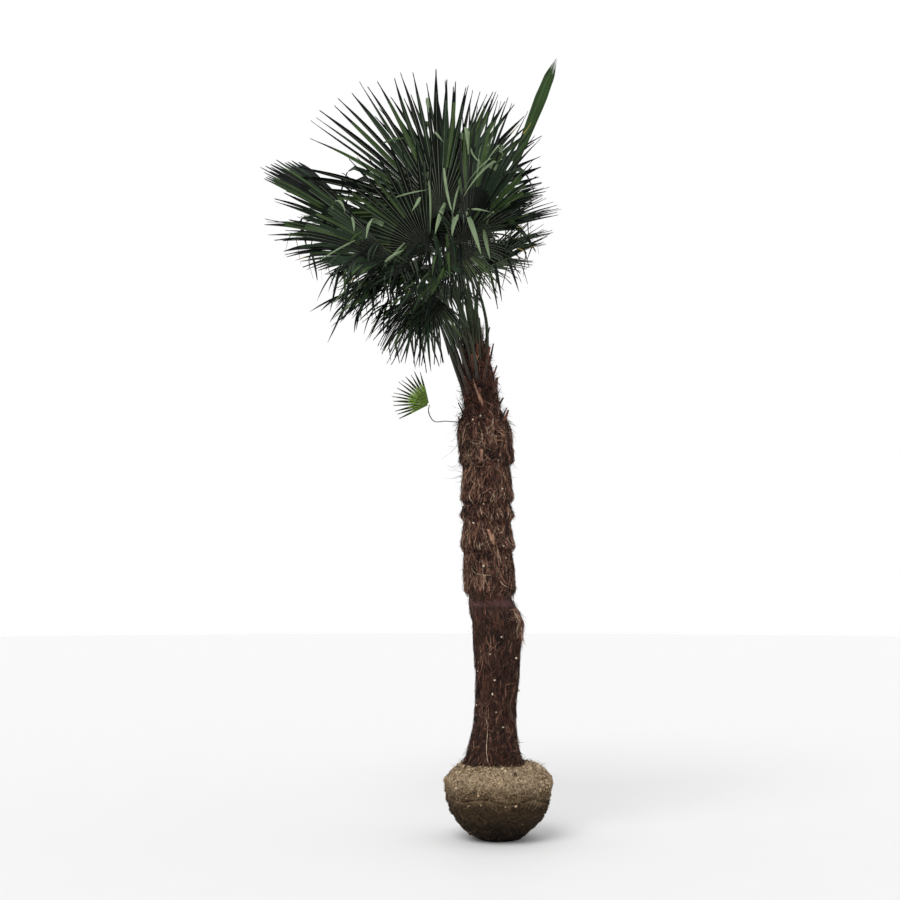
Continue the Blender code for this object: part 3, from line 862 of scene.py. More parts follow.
# Brown of a stalk's foot
OLD_STALK = (0.030, 0.020, 0.012)
SHEATH_TURNS = (-2.6, 0.4)
SHEATH_FEET = (2.86, 3.04)
SHEATH_LENGTHS = (0.22, 0.45)
SHEATH_RADII = (0.008, 0.003)
SPEAR_STALK_RADII = (0.010, 0.008)


def rows_at(marks, shares, rows):
    """Rows at marks, read along the straight lines between the rows at the shares."""
    return np.stack([np.interp(marks, shares, rows[:, axis]) for axis in range(3)], -1)


def add_stalk(heap, points, upper, radii, slot, rng, teeth=True):
    """Add a stalk that is flat above and round below, with small teeth along its edges."""
    shares = np.linspace(0.0, 1.0, STALK_STATIONS)
    line = along_curve(points, shares)
    headings = unit(np.gradient(line, axis=0))
    above = square_to(np.broadcast_to(upper, headings.shape), headings)
    aside = np.cross(headings, above)
    half = radii[0] + (radii[1] - radii[0]) * np.minimum(1.0, 1.3 * shares)
    half = half * (1.0 + 0.5 * np.exp(-shares / 0.06))
    turns = np.linspace(0.0, math.tau, STALK_ROUND + 1)
    wide = np.cos(turns)
    high = np.where(np.sin(turns) > 0.0, 0.40, 0.95) * np.sin(turns)
    ring = aside[:, None] * wide[:, None] + above[:, None] * high[:, None]
    rails = line[:, None] + ring * half[:, None, None]
    heap.strips(rails[None], slot)
    if not teeth:
        return
    length = np.linalg.norm(np.diff(line, axis=0), axis=1).sum()
    count = int(length / TOOTH_SPACING)
    for edge in (-1.0, 1.0):
        marks = np.clip((np.arange(count) + rng.uniform(0.2, 0.8, count)) / count, 0.12, 0.97)
        foot = rows_at(marks, shares, line)
        out = rows_at(marks, shares, aside) * edge
        ahead = rows_at(marks, shares, headings)
        wide_here = np.interp(marks, shares, half)[:, None]
        root = foot + out * wide_here * 0.9
        tip = root + out * (0.1 * wide_here + TOOTH_LENGTH) + ahead * 0.001
        corners = np.stack((root - ahead * 0.0018, root + ahead * 0.0018, tip), axis=1)
        faces = np.arange(3 * count).reshape(count, 3)
        heap.add(corners.reshape(-1, 3), faces, 1)


def spear_leaflets(heap, rng):
    """Add the closed fan of the spear: two layers of narrow leaflets whose tips come apart."""
    seat, tip = np.array(SPEAR_SEAT), np.array(SPEAR_TIP)
    along = unit(tip - seat)
    reach = np.linalg.norm(tip - seat)
    wide = unit(np.cross(along, np.array(FRONT)))
    deep = np.cross(along, wide)
    pleats, stations = SPEAR_PLEATS, SPEAR_STATIONS
    for layer in (-1.0, 1.0):
        middles = (np.arange(pleats) + 0.5) / pleats * 2.0 - 1.0
        ends = 1.0 - 0.07 * rng.random(pleats) * abs(middles) ** 1.5
        shares = np.linspace(0.0, 1.0, stations + 1)[None] * ends[:, None]
        swell = read_along(SPEAR_SWELL, shares)
        half = SPEAR_HALF_WIDTH * swell / pleats * 1.15
        tips = np.clip((shares - 0.8 * ends[:, None]) / (0.2 * ends[:, None]), 0.0, 1.0)
        half = half * (1.0 - 0.9 * tips**1.3)
        splay = 1.0 + 0.35 * tips * rng.random((pleats, 1))
        sidestep = SPEAR_HALF_WIDTH * 0.9 * swell * middles[:, None] * splay
        depth = layer * SPEAR_HALF_DEPTH * swell * (1.0 - 0.7 * middles[:, None] ** 2)
        line = seat + along * (reach * shares)[..., None]
        line = line + wide * sidestep[..., None] + deep * depth[..., None]
        low = deep * (-layer * 0.4 * half)[..., None]
        rib = np.minimum(RIB_HALF * 0.6, 0.4 * half)
        rails = np.stack(
            (
                line - wide * half[..., None] + low,
                line - wide * rib[..., None],
                line + wide * rib[..., None],
                line + wide * half[..., None] + low,
            ),
            axis=2,
        )
        greens = rng.choice((0, 1), pleats, p=(0.55, 0.45))
        slots = np.repeat(np.repeat(greens[:, None, None], stations, 1), 3, 2)
        slots[:, :, 1] = 2
        heap.strips(rails, slots)


def trunk_radius(heights):
    """Radius of the trunk with its fibre skirts."""
    radius = read_along(TRUNK_STATIONS, heights)
    for lip, upper, flare in SKIRTS:
        share = (heights - lip) / (upper - lip)
        inside = (share >= 0.0) & (share < 1.0)
        radius = radius + np.where(inside, flare * (1.0 - share), 0.0)
    return radius


def trunk_places(radii, turns, heights):
    """Points round the trunk's leaning middle."""
    middles = read_along(TRUNK_LEAN, heights)
    return np.stack((middles + radii * np.cos(turns), radii * np.sin(turns), heights), -1)


ROUND = (0.0, math.tau)


class Strands(NamedTuple):
    """A zone of the trunk's fibre: where its locks of strands start and how they run."""

    low: float
    high: float
    count: int
    lengths: tuple
    lean: float  # spread of a lock's angle from straight down, in radians
    curl: float  # spread of the turn along a strand, in radians
    stand: float  # how far free ends stand off the trunk
    width: float
    shades: tuple  # shares of the five fibre finishes
    stop: float = 0.0  # height that hanging ends about reach, at the lowest
    arc: tuple = ROUND  # turns about the trunk where the locks start
    climb: float = -1.0  # 1 for strands that run upwards


STRAND_STATIONS = 6
# How far strands stand up over the trunk's top among the stalks
TUFT = 0.20
LOCK_SIZE = 6
TURN_UNDER = 0.5
# Share of strands whose shade is their own and not their lock's
OWN_SHADE = 0.8
# How far the strands of one lock differ in turn, height, lean and curl
TURN_SPREAD = 0.09
HEIGHT_SPREAD = 0.018
LEAN_SPREAD = 0.12
CURL_SPREAD = 0.25
SHORTEST_STRAND = 0.03
DEEPEST_ROOT = 0.010
TILT_SPREAD = 0.7

MATTED = (0.52, 0.33, 0.12, 0.03, 0.0)
TANGLED = (0.40, 0.27, 0.18, 0.14, 0.01)
SHAGGY = (0.42, 0.15, 0.15, 0.23, 0.05)
RUSTY = (0.42, 0.22, 0.31, 0.05, 0.0)
BLEACHED = (0.15, 0.20, 0.10, 0.42, 0.13)
LOWER_FIBRE = (
    Strands(0.47, 1.40, 5600, (0.05, 0.14), 0.30, 0.8, 0.004, 0.0014, MATTED),
    Strands(0.48, 1.39, 3000, (0.03, 0.10), 1.5, 1.0, 0.005, 0.0011, TANGLED),
    Strands(0.44, 0.60, 700, (0.05, 0.14), 0.6, 0.8, 0.012, 0.0016, MATTED),
    Strands(0.70, 1.38, 30, (0.12, 0.40), 0.10, 0.2, 0.008, 0.0018, BLEACHED),
    Strands(1.26, 1.41, 260, (0.07, 0.16), 0.35, 0.7, 0.012, 0.0017, BLEACHED, 1.16, (-0.7, 0.3)),
)
UPPER_FIBRE = (
    Strands(1.55, 1.78, 3000, (0.06, 0.16), 0.22, 1.0, 0.005, 0.0019, SHAGGY, 1.49),
    Strands(1.80, 1.95, 2200, (0.05, 0.13), 0.26, 1.0, 0.006, 0.0019, SHAGGY, 1.765),
    Strands(1.99, 2.07, 1300, (0.04, 0.09), 0.26, 1.0, 0.006, 0.0019, SHAGGY, 1.965),
    Strands(2.10, 2.31, 2800, (0.06, 0.16), 0.26, 1.0, 0.006, 0.0019, SHAGGY, 2.07),
    Strands(2.35, 2.61, 3600, (0.06, 0.17), 0.34, 1.2, 0.008, 0.0019, SHAGGY, 2.31),
    Strands(1.46, 2.60, 3200, (0.03, 0.09), 1.3, 1.6, 0.007, 0.0014, TANGLED),
)
NECK_FIBRE = (
    Strands(2.60, 3.12, 2600, (0.05, 0.16), 0.6, 1.2, 0.016, 0.0016, RUSTY),
    Strands(2.56, 3.10, 2300, (0.06, 0.20), 0.5, 0.9, 0.020, 0.0017, RUSTY, 0.0, ROUND, 1.0),
)
WISPS = (
    Strands(2.15, 2.58, 200, (0.05, 0.12), 0.7, 1.6, 0.020, 0.0012, TANGLED),
    Strands(2.25, 2.60, 90, (0.05, 0.12), 0.7, 1.8, 0.045, 0.0012, RUSTY, 0.0, (2.3, 4.0)),
    Strands(2.60, 3.00, 150, (0.05, 0.12), 0.9, 1.8, 0.030, 0.0012, RUSTY),
    Strands(1.20, 2.10, 160, (0.04, 0.08), 0.9, 1.6, 0.012, 0.0012, TANGLED),
)


def add_strands(heap, zone, rng):
    """Add a zone's strands, lock by lock, each hanging from the trunk or over a skirt's lip."""
    locks = max(1, zone.count // LOCK_SIZE)
    lock = rng.integers(0, locks, zone.count)
    spin = rng.uniform(*zone.arc, locks)[lock] + rng.normal(0.0, TURN_SPREAD, zone.count)
    height = rng.uniform(zone.low, zone.high, locks)[lock]
    height = height + rng.normal(0.0, HEIGHT_SPREAD, zone.count)
    height = np.clip(height, zone.low - 0.01, zone.high + 0.01)
    lean = rng.normal(0.0, zone.lean, locks)[lock] + rng.normal(0.0, LEAN_SPREAD, zone.count)
    curl = rng.normal(0.0, zone.curl, locks)[lock] + rng.normal(0.0, CURL_SPREAD, zone.count)
    wave = rng.uniform(0.0, math.tau, zone.count)
    length = rng.uniform(*zone.lengths, zone.count)
    room = height - zone.stop + rng.normal(0.0, 0.015, zone.count)
    step = np.minimum(length, np.maximum(room, SHORTEST_STRAND)) / STRAND_STATIONS
    stand = zone.stand * rng.exponential(1.0, zone.count).clip(0.0, 3.0)
    depth = rng.uniform(0.0, DEEPEST_ROOT, zone.count)
    hang = trunk_radius(height)
    line = np.empty((zone.count, STRAND_STATIONS + 1, 3))
    for station in range(STRAND_STATIONS + 1):
        share = station / STRAND_STATIONS
        off = depth + stand * share**1.6
        line[:, station] = trunk_places(hang + off, spin, height)
        angle = lean + curl * share + 0.25 * np.sin(wave + 5.0 * share)
        height = height + zone.climb * step * np.cos(angle)
        spin = spin + step * np.sin(angle) / hang
        height = np.clip(height, BALL_TOP + 0.004, TRUNK_TOP + TUFT)
        hang = np.maximum(trunk_radius(height), hang - TURN_UNDER * step)
    headings = unit(np.gradient(line, axis=1))
    centre = np.stack((read_along(TRUNK_LEAN, line[..., 2]), 0.0 * line[..., 2], line[..., 2]), -1)
    outward = square_to(line - centre, headings)
    flat = np.cross(headings, outward)
    tilt = rng.normal(0.0, TILT_SPREAD, zone.count)[:, None] + np.zeros(STRAND_STATIONS + 1)
    across = turned(flat, outward, tilt)
    shares = np.linspace(0.0, 1.0, STRAND_STATIONS + 1)
    taper = np.minimum(1.0, 0.35 + 3.0 * shares) * (1.0 - 0.8 * shares**3)
    half = zone.width * rng.uniform(0.5, 1.3, zone.count)[:, None] * taper
    rails = np.stack((line - across * half[..., None], line + across * half[..., None]), axis=2)
    shade = rng.choice(5, locks, p=zone.shades)[lock]
    own = rng.choice(5, zone.count, p=zone.shades)
    shade = np.where(rng.random(zone.count) < OWN_SHADE, own, shade)
    heap.strips(rails, shade[:, None, None])


# Relief of the trunk: height, fineness and share along the trunk of each kind of grain
TRUNK_GROOVES = (0.0045, 55.0, 0.12)
TRUNK_STRINGS = (0.0025, 130.0, 0.16)
PIT_DEPTH = 0.012
PIT_FINENESS = 17.0
PIT_START = 0.25
MAT_HEIGHT = 0.115
MAT_EDGE = 0.006


def grain(points, height, fineness, along):
    """Relief of one kind of grain that is drawn out along the trunk."""
    return height * rough(points * (1.0, 1.0, along), fineness)


def trunk_relief(points):
    """Where the points of a plain turned trunk go: lumps, grooves of fibre, mat edges, lean."""
    heights = points[:, 2]
    outward = points.copy()
    outward[:, 2] = 0.0
    outward = unit(outward)
    inside = (heights > TRUNK_FOOT) & (heights < TRUNK_TOP)
    lumps = TRUNK_LUMP * rough(points, TRUNK_FINENESS)
    grooves = grain(points, *TRUNK_GROOVES)
    strings = grain(points, *TRUNK_STRINGS)
    pits = -PIT_DEPTH * np.clip(grain(points, 1.0, PIT_FINENESS, 0.8) - PIT_START, 0.0, 1.0)
    mats = heights / MAT_HEIGHT + 0.5 * rough(points, 4.0)
    edge = (mats - np.floor(mats)) ** 6
    lower = np.clip((WAIST_LOW - heights) / 0.2, 0.0, 1.0)
    relief = lumps + (grooves + strings + pits - MAT_EDGE * edge * lower) * inside
    moved = points + outward * relief[:, None]
    moved[:, 0] += read_along(TRUNK_LEAN, heights)
    return moved


# Old leaf bases round the neck, cut or broken off short
BOOTS = 46
BOOT_LOW = 2.52
BOOT_HIGH = 3.11
BOOT_LENGTHS = (0.07, 0.17)
BOOT_HALF = 0.016
GOLDEN_TURN = math.radians(137.5)


def add_boot(heap, height, turn, length, rng):
    """Add one broken leaf base that points up and out of the neck."""
    outward = np.array((math.cos(turn), math.sin(turn), 0.0))
    rise = rng.uniform(1.2, 2.8) + 6.0 * max(0.0, height - 2.9)
    heading = unit(outward + UP * rise + rng.normal(0.0, 0.08, 3))
    foot = trunk_places(trunk_radius(height) - 0.014, turn, height)
    line = np.array([foot + heading * length * share for share in (0.0, 0.35, 0.7, 1.0)])
    line += outward * (0.02 * np.array((0.0, 0.4, 0.2, 0.0)))[:, None]
    above = square_to(UP - outward, heading)
    aside = np.cross(heading, above)
    turns = np.linspace(0.0, math.tau, 9)
    half = BOOT_HALF * rng.uniform(0.7, 1.1) * np.array((1.5, 1.0, 0.75, 0.62))
    thick = np.where(np.sin(turns) > 0.0, 0.25, 0.55) * np.sin(turns)
    ring = aside * np.cos(turns)[:, None] + above * thick[:, None]
    rails = line[:, None] + ring * half[:, None, None]
    rails[-1] += heading * (rng.uniform(-0.3, 0.3) * np.cos(turns) * half[-1])[:, None]
    heap.strips(rails[None], rng.choice((SHADOW, BROWN, RED)))
    end = rails[-1, :-1]
    heap.add(end, np.arange(len(end))[None], TAN)


# Pale specks on the trunk's front, by column and row of the picture
SPECKS = (
    (481, 416), (474, 420), (492, 420), (497, 460), (501, 489), (484, 504), (475, 523),
    (502, 546), (504, 558), (484, 566), (501, 637), (491, 654), (514, 658), (480, 671),
    (495, 680), (493, 694), (479, 705), (496, 712), (502, 727),
)
SPECK_HEIGHTS = (0.6, 2.5)
SPECK_STAND = 0.018
SPECK_SIZES = (0.005, 0.009)
SPECK_COLOUR = (0.72, 0.62, 0.48)
# Slivers of old leaf base on the front: first and last column and row, half widths, finish
SLIVERS = (
    ((474, 379), (483, 407), (0.003, 0.014), TAN),
    ((482, 449), (483, 462), (0.010, 0.007), TAN),
    ((488, 529), (493, 545), (0.008, 0.012), TAN),
    ((497, 432), (502, 438), (0.008, 0.007), TAN),
    ((479, 352), (472, 372), (0.002, 0.004), TAN),
    ((474, 350), (478, 362), (0.002, 0.004), TAN),
)


def seen_on_trunk(column, row):
    """Turn and height of the place on the trunk's front that a pixel of the picture shows."""
    ray = pixel_ray(column, row)
    depth = 0.0
    for _ in range(8):
        place = CAMERA_PLACE + ray * (depth - CAMERA_PLACE[1])
        height = place[2]
        aside = place[0] - float(read_along(TRUNK_LEAN, height))
        radius = float(trunk_radius(np.array(height)))
        aside = min(0.95 * radius, max(-0.95 * radius, aside))
        depth = -math.sqrt(radius**2 - aside**2)
    return math.atan2(depth, aside), height


def add_sliver(heap, first, last, halves, slot):
    """Lay one bulging sliver on the trunk's front between two pixels of the picture."""
    turn, height = zip(seen_on_trunk(*first), seen_on_trunk(*last))
    shares = np.linspace(0.0, 1.0, 7)
    turns = turn[0] + (turn[1] - turn[0]) * shares
    heights = height[0] + (height[1] - height[0]) * shares
    outward = np.stack((np.cos(turns), np.sin(turns), 0.0 * turns), -1)
    line = trunk_places(trunk_radius(heights) + 0.012, turns, heights)
    line += outward * (0.022 * np.sin(math.pi * shares))[:, None]
    across = np.stack((-np.sin(turns), np.cos(turns), 0.0 * turns), -1)
    half = (halves[0] + (halves[1] - halves[0]) * shares) * np.minimum(1.0, 6.0 * (1.02 - shares))
    heap.bulging_strip(line, across, outward, half, 0.4, slot)


def chance_turns(rng, count):
    """Turning matrices in every direction."""
    spin = unit(rng.normal(size=(count, 4)))
    w, x, y, z = spin.T
    rows = (
        (1 - 2 * (y * y + z * z), 2 * (x * y - z * w), 2 * (x * z + y * w)),
        (2 * (x * y + z * w), 1 - 2 * (x * x + z * z), 2 * (y * z - x * w)),
        (2 * (x * z - y * w), 2 * (y * z + x * w), 1 - 2 * (x * x + y * y)),
    )
    return np.moveaxis(np.array(rows), -1, 0)


def add_grains(heap, places, sizes, flatness, slots, rng):
    """Add a small uneven lump at each place."""
    shape = bmesh.new()
    bmesh.ops.create_icosphere(shape, subdivisions=1, radius=1.0)
    points = np.array([vert.co for vert in shape.verts])
    faces = np.array([[vert.index for vert in face.verts] for face in shape.faces])
    shape.free()
    count = len(places)
    stretch = rng.uniform(0.6, 1.2, (count, 1, 3)) * np.array((1.0, 1.0, flatness))
    uneven = points * (1.0 + rng.normal(0.0, 0.12, (count, len(points), 1)))
    lumps = np.einsum("nij,nkj->nki", chance_turns(rng, count), uneven * stretch)
    lumps = places[:, None] + lumps * sizes[:, None, None]
    offsets = (np.arange(count) * len(points))[:, None, None]
    heap.add(
        lumps.reshape(-1, 3),
        (faces + offsets).reshape(-1, 3),
        np.repeat(np.broadcast_to(slots, count), len(faces)),
    )


CLOD_HEIGHT = 0.012
GRIT_HEIGHT = 0.006
CRACK_DEPTH = 0.020
TOP_CRUST = 0.008


def ball_relief(points):
    """Where the points of a plain turned ball go: lumps, clods, grit and the crack."""
    heights = points[:, 2]
    outward = points.copy()
    outward[:, 2] = 0.0
    outward = unit(outward)
    side = np.clip(heights / 0.03, 0.0, 1.0)
    lumps = BALL_LUMP * rough(points, BALL_FINENESS)
    clods = CLOD_HEIGHT * rough(points, 26.0)
    grit = GRIT_HEIGHT * (rough(points, 75.0) + 0.5 * rough(points, 150.0))
    crack = CRACK_HEIGHT + CRACK_WANDER * rough(points * (1.0, 1.0, 0.0), 5.0)
    crack += 0.010 * rough(points * (1.0, 1.0, 0.0), 22.0)
    groove = -CRACK_DEPTH * np.exp(-(((heights - crack) / CRACK_HALF) ** 2))
    moved = points + outward * (lumps + (clods + grit + groove) * side)[:, None]
    top = np.clip((heights - 0.40) / 0.035, 0.0, 1.0)
    apart = np.linalg.norm(points[:, :2], axis=1)
    clear = np.clip((apart - 0.20) / 0.03, 0.0, 1.0)
    moved[:, 2] += top * clear * TOP_CRUST * (1.0 + rough(points, 40.0))
    return moved


def ball_places(tree, rng, low, high, count):
    """Chance places on the ball's side between two heights."""
    places = []
    while len(places) < count:
        height = rng.uniform(low, high)
        turn = rng.uniform(0.0, math.tau)
        way = Vector((math.cos(turn), math.sin(turn), 0.0))
        hit = tree.ray_cast(Vector((0.0, 0.0, height)) + way, -way)[0]
        if hit is not None:
            places.append(hit)
    return np.array(places)


def top_places(tree, rng, near, far, count):
    """Chance places on the ball's top between two distances from its middle."""
    places = []
    while len(places) < count:
        apart = math.sqrt(rng.uniform(near**2, far**2))
        turn = rng.uniform(0.0, math.tau)
        above = Vector((apart * math.cos(turn), apart * math.sin(turn), 1.0))
        hit = tree.ray_cast(above, -Vector(SKYWARD))[0]
        if hit is not None and hit.z > 0.3:
            places.append(hit)
    return np.array(places)


ROOT_STATIONS = 6


def add_litter(heap, places, rng):
    """Lay a short dry straw at each place on the ball's top."""
    count = len(places)
    turn = rng.uniform(0.0, math.tau, count)
    heading = np.stack((np.cos(turn), np.sin(turn), rng.uniform(-0.1, 0.5, count)), -1)
    across = np.stack((-np.sin(turn), np.cos(turn), 0.0 * turn), -1)
    run = np.linspace(0.0, 1.0, 4) * rng.uniform(0.015, 0.055, count)[:, None]
    line = places[:, None] + heading[:, None] * run[..., None]
    line[..., 2] += 0.004
    edge = across[:, None] * rng.uniform(0.0008, 0.0018, count)[:, None, None]
    rails = np.stack((line - edge, line + edge), axis=2)
    heap.strips(rails, rng.choice(3, count, p=(0.5, 0.3, 0.2))[:, None, None])


def add_rootlets(heap, tree, rng, count, lengths, half, low, high, shades):
    """Add fine roots that creep over the ball's side."""
    turn = rng.uniform(0.0, math.tau, count)
    height = rng.uniform(low, high, count)
    slant = rng.uniform(-math.pi, math.pi, count)
    curl = rng.normal(0.0, 1.2, count)
    length = rng.uniform(*lengths, count)
    stations = ROOT_STATIONS
    line = np.empty((count, stations + 1, 3))
    for station in range(stations + 1):
        for index in range(count):
            way = Vector((math.cos(turn[index]), math.sin(turn[index]), 0.0))
            start = Vector((0.0, 0.0, height[index])) + way
            hit = tree.ray_cast(start, -way)[0]
            edge = hit if hit is not None else way * 0.2 + Vector((0.0, 0.0, height[index]))
            off = 0.003 + 0.004 * math.sin(station + index)
            line[index, station] = edge + way * off
        angle = slant + curl * station / stations
        height = np.clip(height + length / stations * np.sin(angle), 0.012, BALL_TOP - 0.01)
        turn = turn + length / stations * np.cos(angle) / 0.3
    headings = unit(np.gradient(line, axis=1) + 1e-9)
    outward = square_to(unit(line * (1.0, 1.0, 0.0) + 1e-9), headings)
    across = np.cross(headings, outward)
    taper = np.linspace(1.0, 0.35, stations + 1)
    width = half * rng.uniform(0.5, 1.4, count)[:, None] * taper
    rails = np.stack(
        (
            line - across * width[..., None],
            line + outward * width[..., None],
            line + across * width[..., None],
        ),
        axis=2,
    )
    heap.strips(rails, rng.choice(len(shades), count, p=shades)[:, None, None])


def tint(name, description, default):
    """A setting that is a colour."""
    return FloatVectorProperty(
        name=name, description=description, subtype="COLOR", default=default, min=0.0, max=1.0
    )


class FrondLook(bpy.types.PropertyGroup):
    """Sizes and colours of the fronds."""

    leaflets: IntProperty(
        name="Leaflets",
        description="Leaflets of a frond that would go all the way round",
        default=86,
        min=8,
    )
    stations: IntProperty(
        name="Stations", description="Steps along each leaflet", default=18, min=6, max=40
    )
    sheaths: IntProperty(
        name="Sheaths", description="Narrow green stubs among the stalks' feet", default=11, min=0
    )
    dry_share: FloatProperty(
        name="Dry tips",
        description="Share of leaflets with a dry tip",
        default=0.03,
        min=0.0,
        max=1.0,
        subtype="FACTOR",
    )
    deep: tint("Deep", "Darkest leaf green", (0.0038, 0.0062, 0.0044))
    middle: tint("Middle", "Usual leaf green", (0.0145, 0.0275, 0.0135))
    fresh: tint("Fresh", "Bright leaf green", (0.036, 0.064, 0.019))
    under: tint("Underside", "Pale underside", (0.140, 0.188, 0.106))
    # Pale rib green: partly the midrib's own colour, partly painted highlight where the pleats'
    # folds catch the light
    rib: tint("Rib", "Rib of a leaflet", (0.090, 0.098, 0.070))
    dry: tint("Dry", "Dry leaf tip", (0.260, 0.200, 0.070))
    young: tint("Young", "Young leaf green", (0.115, 0.185, 0.030))
    spear: tint("Spear", "Green of the spear leaf", (0.022, 0.045, 0.012))
    stalk: tint("Stalk", "Green of the stalks", (0.030, 0.052, 0.016))


class TrunkLook(bpy.types.PropertyGroup):
    """Colours of the trunk and its fibre."""

    shadow: tint("Shadow", "Darkest fibre", (0.0105, 0.0055, 0.0042))
    brown: tint("Brown", "Usual fibre", (0.062, 0.029, 0.019))
    red: tint("Red", "Red-brown fibre", (0.118, 0.045, 0.029))
    tan: tint("Tan", "Light fibre", (0.275, 0.148, 0.098))
    straw: tint("Straw", "Bleached fibre", (0.520, 0.400, 0.280))
    waist: tint("Waist", "Bare band of the trunk", (0.085, 0.038, 0.036))
    specks: IntProperty(
        name="Specks", description="Pale specks on the back of the trunk", default=28, min=0
    )


class EarthLook(bpy.types.PropertyGroup):
    """Sizes and colours of the root ball."""

    crumbs: IntProperty(name="Crumbs", description="Loose crumbs of earth", default=2600, min=1)
    rootlets: IntProperty(name="Rootlets", description="Fine roots on the side", default=700, min=1)
    litter: IntProperty(name="Litter", description="Bits of straw on top", default=900, min=1)
    # The earth colours run from pale on top to nearly black at the bottom of the ball
    pale_earth: tint("Pale earth", "Dry earth on top", (0.460, 0.345, 0.222))
    earth: tint("Earth", "Earth of the side", (0.175, 0.116, 0.064))
    low_earth: tint("Low earth", "Darker earth low down", (0.062, 0.038, 0.019))
    underside: tint("Underside", "Moist earth below", (0.009, 0.0055, 0.0032))


class StageLook(bpy.types.PropertyGroup):
    """Floor and light."""

    floor: tint("Floor", "Colour of the floor", (0.67, 0.67, 0.67))
    sky: FloatProperty(
        name="Sky", description="Strength of the light all round", default=1.0, min=0.0
    )
    key: FloatProperty(name="Key", description="Strength of the main light", default=1.7, min=0.0)


def crown_finishes(look):
    """The leaf finishes in the order of a crown piece's slots."""
    return (
        leaf_finish("leaf_deep", look.deep),
        leaf_finish("leaf_middle", look.middle),
        leaf_finish("leaf_fresh", look.fresh),
        leaf_finish("leaf_underside", look.under, 0.55),
        leaf_finish("leaf_rib_highlight", look.rib, 0.5),
        leaf_finish("leaf_dry", look.dry, 0.7),
    )


def fibre_finishes(look):
    """The fibre finishes in the order of a fibre piece's slots."""
    return (
        fibre_finish("fibre_shadow", look.shadow),
        fibre_finish("fibre_brown", look.brown),
        fibre_finish("fibre_red", look.red),
        fibre_finish("fibre_tan", look.tan),
        fibre_finish("fibre_straw", look.straw),
    )


class PALM_OT_fronds(bpy.types.Operator):
    """Make the leaflets of every frond of the crown"""

    bl_idname = "palm.fronds"
    bl_label = "Fronds"

    def execute(self, context):
        look = context.scene.palm_fronds
        finishes = crown_finishes(look)
        by_name = {frond.name: frond for frond in FRONDS}
        leaves = Heap()
        for part, names in CROWN_PARTS.items():
            heap = Heap()
            for name in names:
                rng = np.random.default_rng(100 + int(name))
                add_fan(heap, by_name[name], look, BENDING.get(name, FIRM), rng)
            piece = heap.piece(part, finishes)
            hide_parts(*(f"blade_{name}" for name in names))
            leaves.points += heap.points
            leaves.faces += (np.array(heap.faces) + leaves.count).tolist()
            leaves.count += heap.count
        tree = BVHTree.FromPolygons(np.concatenate(leaves.points).tolist(), leaves.faces)
        heap = Heap()
        rng = np.random.default_rng(200)
        for strip in (*HANGING, *thicket(rng)):
            add_hanging(heap, tree, *strip, rng)
        heap.piece("leaves_hanging", finishes)
        return {"FINISHED"}


class PALM_OT_stalks(bpy.types.Operator):
    """Make the toothed stalks along the frame's plain ones"""

    bl_idname = "palm.stalks"
    bl_label = "Stalks"

    def execute(self, context):
        look = context.scene.palm_fronds
        heap = Heap()
        rng = np.random.default_rng(31)
        for frond in FRONDS:
            middle, _, upper = frond_axes(frond)
            points = centre_line(f"stalk_{frond.name}", frond.hub)
            points.append(tuple(np.array(frond.hub) + middle * 2.2 * BLADE_SEAT - upper * 0.004))
            radii = (STALK_FOOT_RADIUS, STALK_HUB_RADIUS)
            add_stalk(heap, points, upper, radii, 0, rng)
        points = centre_line("stalk_spear", SPEAR_SEAT)
        add_stalk(heap, points, np.array(FRONT), SPEAR_STALK_RADII, 0, rng)
        finishes = (
            stalk_finish("stalk_green", look.stalk, OLD_STALK),
            stalk_finish("stalk_teeth", shaded(look.stalk, 0.7), OLD_STALK),
        )
        for _ in range(look.sheaths):
            turn = rng.uniform(*SHEATH_TURNS)
            low = rng.uniform(*SHEATH_FEET)
            foot = trunk_places(trunk_radius(low) + 0.006, turn, low)
            rise = np.array((rng.normal(-0.06, 0.05), rng.normal(-0.02, 0.03), 1.0))
            top = foot + unit(rise) * rng.uniform(*SHEATH_LENGTHS)
            middle = 0.5 * (foot + top) + np.array((0.0, -0.012, 0.0))
            add_stalk(heap, (foot, middle, top), np.array(FRONT), SHEATH_RADII, 0, rng, False)
        piece = heap.piece("stalks", finishes, smooth=True)
        names = [frond.name for frond in FRONDS] + ["spear"]
        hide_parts(*(f"stalk_{name}" for name in names))
        return {"FINISHED"}


class PALM_OT_spear(bpy.types.Operator):
    """Make the folded young leaf that stands highest"""

    bl_idname = "palm.spear"
    bl_label = "Spear leaf"

    def execute(self, context):
        look = context.scene.palm_fronds
        heap = Heap()
        spear_leaflets(heap, np.random.default_rng(41))
        finishes = (
            leaf_finish("spear_green", look.spear, 0.38),
            leaf_finish("spear_bright", shaded(look.spear, 1.7), 0.38),
            leaf_finish("spear_rib", shaded(look.spear, 0.5), 0.45),
        )
        piece = heap.piece("spear_leaf", finishes)
        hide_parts("blade_spear")
        return {"FINISHED"}


